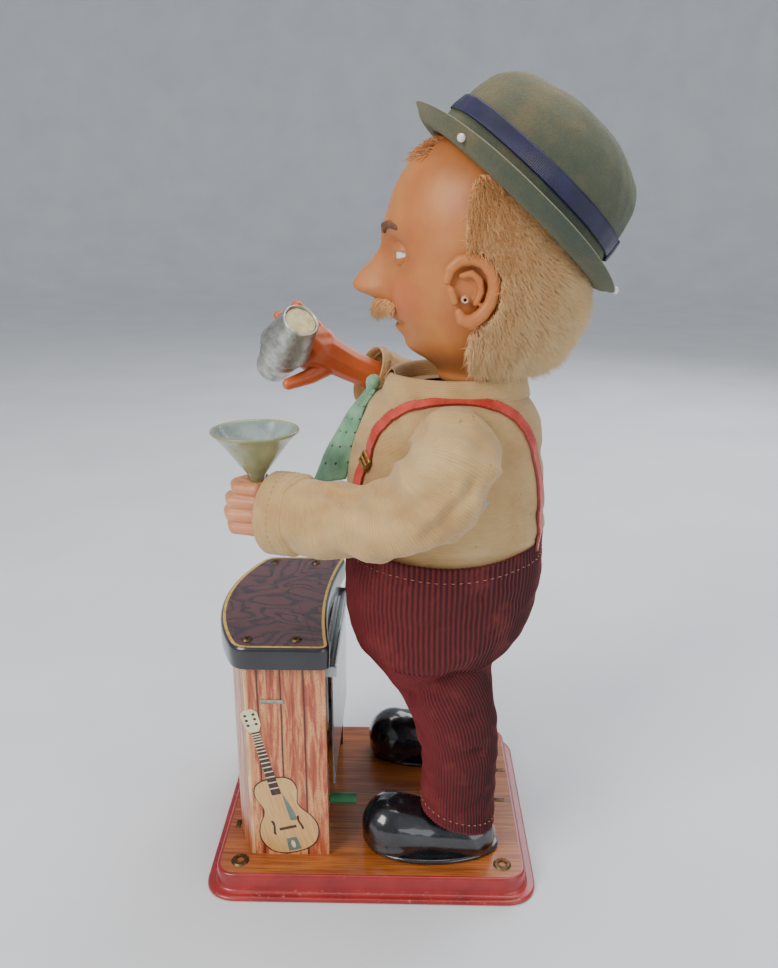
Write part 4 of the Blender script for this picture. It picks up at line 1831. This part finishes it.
def hat_rings(profile, count, shape=None):
    """Rings round the hat's own axis; profile is (radius, height above the brim) rows."""
    turns = np.linspace(0, 2 * math.pi, count, endpoint=False)
    side = np.array([1.0, 0, 0])
    rings = []
    for radius, high in profile:
        ahead = np.sin(turns)
        r, n = radius, high
        if shape:
            r, n = shape(radius, high, ahead)
        ring = (HAT_AT + np.outer(r * np.cos(turns) * np.ones(count), side)
                - np.outer(r * ahead * np.ones(count), HAT_AHEAD)
                + np.outer(n * np.ones(count), HAT_UP))
        rings.append(ring)
    return np.array(rings)


def make_hat():
    """A felt hat: soft crown, curled brim with a pale cut edge, pins, and a ribbon with a lapped end."""
    outside = [(0.05, 37.4), (6, 37.1), (12.2, 36.3), (18, 34.9), (23.6, 32.8), (28.0, 30.2), (31.4, 26.8),
               (33.8, 22.4),
               (35.3, 17.4), (36.0, 12), (36.3, 7), (36.3, 3.2), (36.6, 1.4), (37.4, 0.4), (39.2, -0.2),
               (41.6, 0.2),
               (43.8, 1.0), (45.4, 2.2), (46.4, 3.6)]
    edge = [(46.75, 3.85), (46.95, 3.45)]
    inside = [(46.7, 2.9), (46.3, 1.7), (45.4, 0.1), (43.6, -1.4), (41.0, -2.2), (38.4, -2.2),
              (35.6, -1.4), (35.0, 2), (34.9, 8)]
    smooth_out = smooth_line(outside, 84)
    smooth_in = smooth_line(inside, 30)

    def shape(radius, high, ahead):
        """The brim lies flat in front and behind, and the crown sags a little to the back."""
        share = np.clip((radius - 38) / 8, 0, 1)
        flat = share * np.abs(ahead) ** 3
        return radius + 0.4 * share * np.abs(ahead), high - 3.2 * flat * np.clip(high, 0, 4) / 4

    profile = np.vstack([smooth_out, edge, smooth_in])
    rings = hat_rings(profile, 200, shape)
    flat = rings.reshape(-1, 3)
    out = unit_rows(flat - (HAT_AT + HAT_UP * 8))
    rows = np.repeat(np.arange(len(profile)), 200)
    calm = np.where(rows < len(smooth_out) - 14, 1.0, 0.35)
    push = calm * (0.55 * ripple(flat, 24, 51) + 0.22 * ripple(flat, 9, 52))
    crown = rows < 30
    push -= crown * 2.2 * fold(flat, [HAT_AT + HAT_UP * 36 + HAT_AHEAD * a for a in (-16, 0, 14)], 6.0)
    flat = flat + out * push[:, None]
    bands = [0] * (len(smooth_out) - 1) + [1] * 2 + [0] * len(smooth_in)
    points, faces, uvs, slots = loft(flat.reshape(rings.shape), True, (False, False), (1, 1),
                                     bands[:len(profile) - 1])
    hat = piece("felt_hat", points, faces, (felt, felt_edge), "head", uvs, slots, crease=75, slot="felt")
    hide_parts("hat_felt")
    tree = skin_tree(hat)
    make_pins(tree)
    band = []
    for n in np.linspace(7.4, 13.6, 9):
        ring = hat_rings([(36.0, n)], 240)[0]
        row = []
        for point in ring:
            place, _, _, _ = tree.find_nearest(Vector(point))
            away = unit(np.array(place) - (HAT_AT + HAT_UP * n))
            row.append(np.array(place) + away * 0.3)
        band.append(row)
    ribbon_ = lofted("hat_ribbon", band, navy_ribbon, None, None, size=(230, 6.2))
    thicken(ribbon_, 0.45, 1, "head")
    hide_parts("hat_band")
    turns = [math.radians(72 + 3 * k) for k in range(7)]
    lap = []
    for n in np.linspace(6.6, 14.2, 7):
        row = []
        for t in turns:
            lift = 1.0 + 0.35 * math.sin((t - turns[0]) / (turns[-1] - turns[0]) * math.pi)
            base = HAT_AT + HAT_UP * n
            spoke = np.array([math.cos(t), 0, 0]) - HAT_AHEAD * math.sin(t)
            place, _, _, _ = tree.find_nearest(Vector(base + spoke * 36))
            row.append(np.array(place) + unit(np.array(place) - base) * lift)
        lap.append(row)
    tab = lofted("ribbon_lap", lap, navy_ribbon, None, None, closed=False, size=(11, 7.6))
    thicken(tab, 0.4, -1, "head")


def make_pins(tree):
    """Two white pin heads on the brim, one under its raised side and one at the back."""
    spots = [("side_pin", (40.5, 24, 271), (52, 20, 262)), ("back_pin", (9.5, 88, 226), (10, 96, 222))]
    for name, near, beyond in spots:
        place, normal, _, _ = tree.find_nearest(Vector(near))
        out = np.array(normal)
        if out @ (np.array(beyond) - np.array(place)) < 0:
            out = -out
        pin = lofted(name, ball_rings(np.array(place) + out * 0.8, 1.35, 24, 16), pin_white, "head",
                     "pin_white")
        if name == "side_pin":
            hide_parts("hat_pins")


def unit_rows(points):
    return points / np.linalg.norm(points, axis=1)[:, None]


# ---------------------------------------------------------------- hands, glass and shaker

def make_left_hand():
    """A closed fist: four stacked fingers round the stem, the thumb over the top, a cuffed wrist."""
    rods = [((25.2, -31.0, 146.6), (22.8, -38.5, 148.0), 7.2, 8.2),
            ((22.8, -38.5, 150.5), (20.6, -43.5, 152), 6.6, 5.8),
            ((22.8, -38.5, 145.5), (20.8, -43.5, 144.6), 6.8, 6.0)]
    for k in range(4):
        z = 156.2 - 5.0 * k
        r = (2.6, 2.7, 2.65, 2.45)[k]
        y = (-49.0, -51.2, -51.9, -51.0)[k]
        rods += [((28.0, -40.5 - 0.4 * k, z), (25.2, y + 1.6, z - 0.3), r * 1.02, r),
                 ((25.2, y + 1.6, z - 0.3), (19.5, y, z - 0.5), r, r),
                 ((19.5, y, z - 0.5), (13.8, y + 4.0, z - 0.6), r, r * 0.94),
                 ((13.8, y + 4.0, z - 0.6), (12.6, y + 9.0, z - 0.4), r * 0.94, r * 0.85)]
    rods += [((26.2, -36.5, 152.5), (25.0, -43.8, 156.2), 3.0, 2.6),
             ((25.0, -43.8, 156.2), (20.8, -47.4, 156.8), 2.6, 2.3)]
    hand = blob("left_fist", rods, [((21.2, -42.0, 148.6), 7.9, (1, 1, 1.05))], 0.40, 2, (hand_vinyl,),
                "left_arm")
    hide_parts("left_hand")


def make_right_hand():
    """The raised hand: a tapering forearm, spread fingers behind the shaker, a thumb below it."""
    rods = [((-35.0, 1.2, 184.9), (-31.6, -10.5, 190.6), 6.2, 6.6),
            ((-31.6, -10.5, 190.6), (-28.6, -20.5, 196.6), 6.6, 7.6),
            ((-28.6, -20.5, 196.6), (-29.8, -25.5, 202.2), 7.6, 5.6),
            ((-28.6, -20.5, 196.2), (-29.6, -26.5, 192.8), 7.2, 5.0)]
    fingers = [((-30.6, -22.5, 204.2), (-29.6, -27.4, 210.4), (-24.8, -30.6, 215.2), 2.9, 2.3),
               ((-31.6, -26.6, 202.0), (-31.2, -33.2, 207.4), (-25.6, -38.0, 211.2), 2.8, 2.2),
               ((-32.2, -28.0, 197.4), (-32.6, -36.6, 200.6), (-29.4, -43.2, 202.8), 2.7, 2.1),
               ((-31.6, -27.0, 192.6), (-32.0, -35.8, 194.4), (-29.2, -42.4, 195.6), 2.5, 2.0),
               ((-28.2, -19.0, 190.6), (-24.2, -25.6, 187.6), (-18.2, -34.2, 185.4), 3.3, 2.5)]
    for a, b, c, r0, r1 in fingers:
        rods += [(a, b, r0 * 1.1, r0), (b, c, r0, r1)]
    hand = blob("right_hand_vinyl", rods, [((-29.4, -23.0, 198.0), 8.2, (0.8, 1, 1.1))], 0.42, 4,
                (orange_vinyl,), None)
    axis = unit((0.607, 0.447, 0.656))
    centre = np.array([-20, -35, 200.0])
    for v in hand.data.vertices:
        p = np.array(v.co) / MM - centre
        along = p @ axis
        away = p - axis * along
        reach = np.linalg.norm(away)
        need = np.interp(along, [-18.5, -15.5, -6, 0, 1.5, 17.5, 18.5], [0, 7.1, 8.8, 10.5, 10.5, 7.2, 0])
        if 0.5 < reach < need:
            v.co = Vector((centre + axis * along + away / reach * need) * MM)
    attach(hand, "right_arm")
    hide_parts("right_hand")


def make_glass():
    """A thin cone of translucent plastic with a rolled rim, on a short stem."""
    profile = [(0.05, 142.2), (2.1, 142.2), (2.3, 150), (2.8, 157.4), (3.4, 160.0), (7.5, 165.6),
               (11.8, 171.4), (15.0, 175.2),
               (15.7, 175.5), (16.0, 176.0), (15.8, 176.5), (15.2, 176.6), (14.7, 176.1), (14.3, 175.3),
               (10.6, 170.8),
               (6.2, 165.0), (2.9, 161.2), (1.2, 160.7), (0.05, 160.6)]
    rings = lathe(profile, 72, (20, -41.5, 0), UP)
    bands = [0] * 12 + [1] * 6
    points, faces, uvs, slots = loft(rings, True, (False, False), (1, 1), bands)
    glass = piece("cone_glass", points, faces, (cup_plastic, cup_inside), "left_arm", uvs, slots,
                  crease=60, slot="cup_plastic")
    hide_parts("cocktail_glass")


def make_shaker():
    """A spun two-part shaker: a cup with a rolled mouth and a cream disc in its base, and a cap."""
    centre, axis = (-20, -35, 200), (0.607, 0.447, 0.656)
    cup = [(9.4, 1.2), (9.5, -0.1), (9.9, -0.5), (10.3, -0.2), (10.4, 0.4), (10.15, 1.1), (10.05, 1.8),
           (9.3, 6), (8.3, 11),
           (7.35, 16.2), (7.15, 17.3), (6.8, 17.75), (6.3, 17.6), (6.1, 17.0), (6.0, 16.6)]
    body = lofted("spun_cup", lathe(cup, 72, centre, axis), dull_aluminium, "right_arm", "dull_aluminium",
                  70)
    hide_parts("shaker_cup")
    disc = [(6.05, 16.5), (5.9, 16.9), (5.0, 17.0), (2.4, 17.15), (0.05, 17.2)]
    lofted("cup_base_disc", lathe(disc, 48, centre, axis), cream_disc, "right_arm", "dull_aluminium", 60)
    cap = [(8.2, 2.6), (8.8, 2.5), (8.9, 0.6), (8.75, -1.2), (8.4, -5.4), (8.5, -6.0), (8.1, -6.4),
           (7.6, -10.5), (7.0, -14.6),
           (6.4, -16.2), (5.2, -17.5), (3.6, -18.3), (1.6, -18.6), (0.05, -18.7)]
    top = lofted("spun_cap", lathe(cap, 72, centre, axis), dull_aluminium, "right_arm", "dull_aluminium",
                 70)
    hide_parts("shaker_cap")


# ---------------------------------------------------------------- carried-over CAD nodes

def dress_cad_nodes():
    """Gives every CAD node that still shows its own procedural material."""
    special = {"base_eyelets": aged_eyelet, "counter_rivets": aged_eyelet}
    for name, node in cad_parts.items():
        if node.hide_render:
            continue
        given = node.data.materials[0].name.split(".")[0] if node.data.materials else ""
        maker = special.get(name) or SLOT_PAINTS[given]
        for slot in node.material_slots:
            slot.link = "OBJECT"
            slot.material = paint(maker)


def make_floor():
    """A pale floor that curves up all round, far from the object."""
    profile = [(0.1, 0), (400, 0), (1200, 0), (1900, 0), (2300, 60), (2600, 260), (2750, 600),
               (2800, 1100), (2800, 1700)]
    rings = lathe(smooth_line(profile, 60), 96, (0, 0, -0.02), UP)
    ground = lofted("studio_floor", rings, floor_white, None, None)


make_camera()
make_light()
make_floor()
make_base()
make_counter()
make_case()
for panel in (1, -1):
    make_guitar(panel)
    make_shoe(panel)
shirt_piece = make_shirt()
make_trousers()
make_sleeves()
make_collar()
make_tie()
make_suspenders(shirt_piece)
make_head()
make_hair()
make_moustache()
make_hat()
make_left_hand()
make_right_hand()
make_glass()
make_shaker()
dress_cad_nodes()
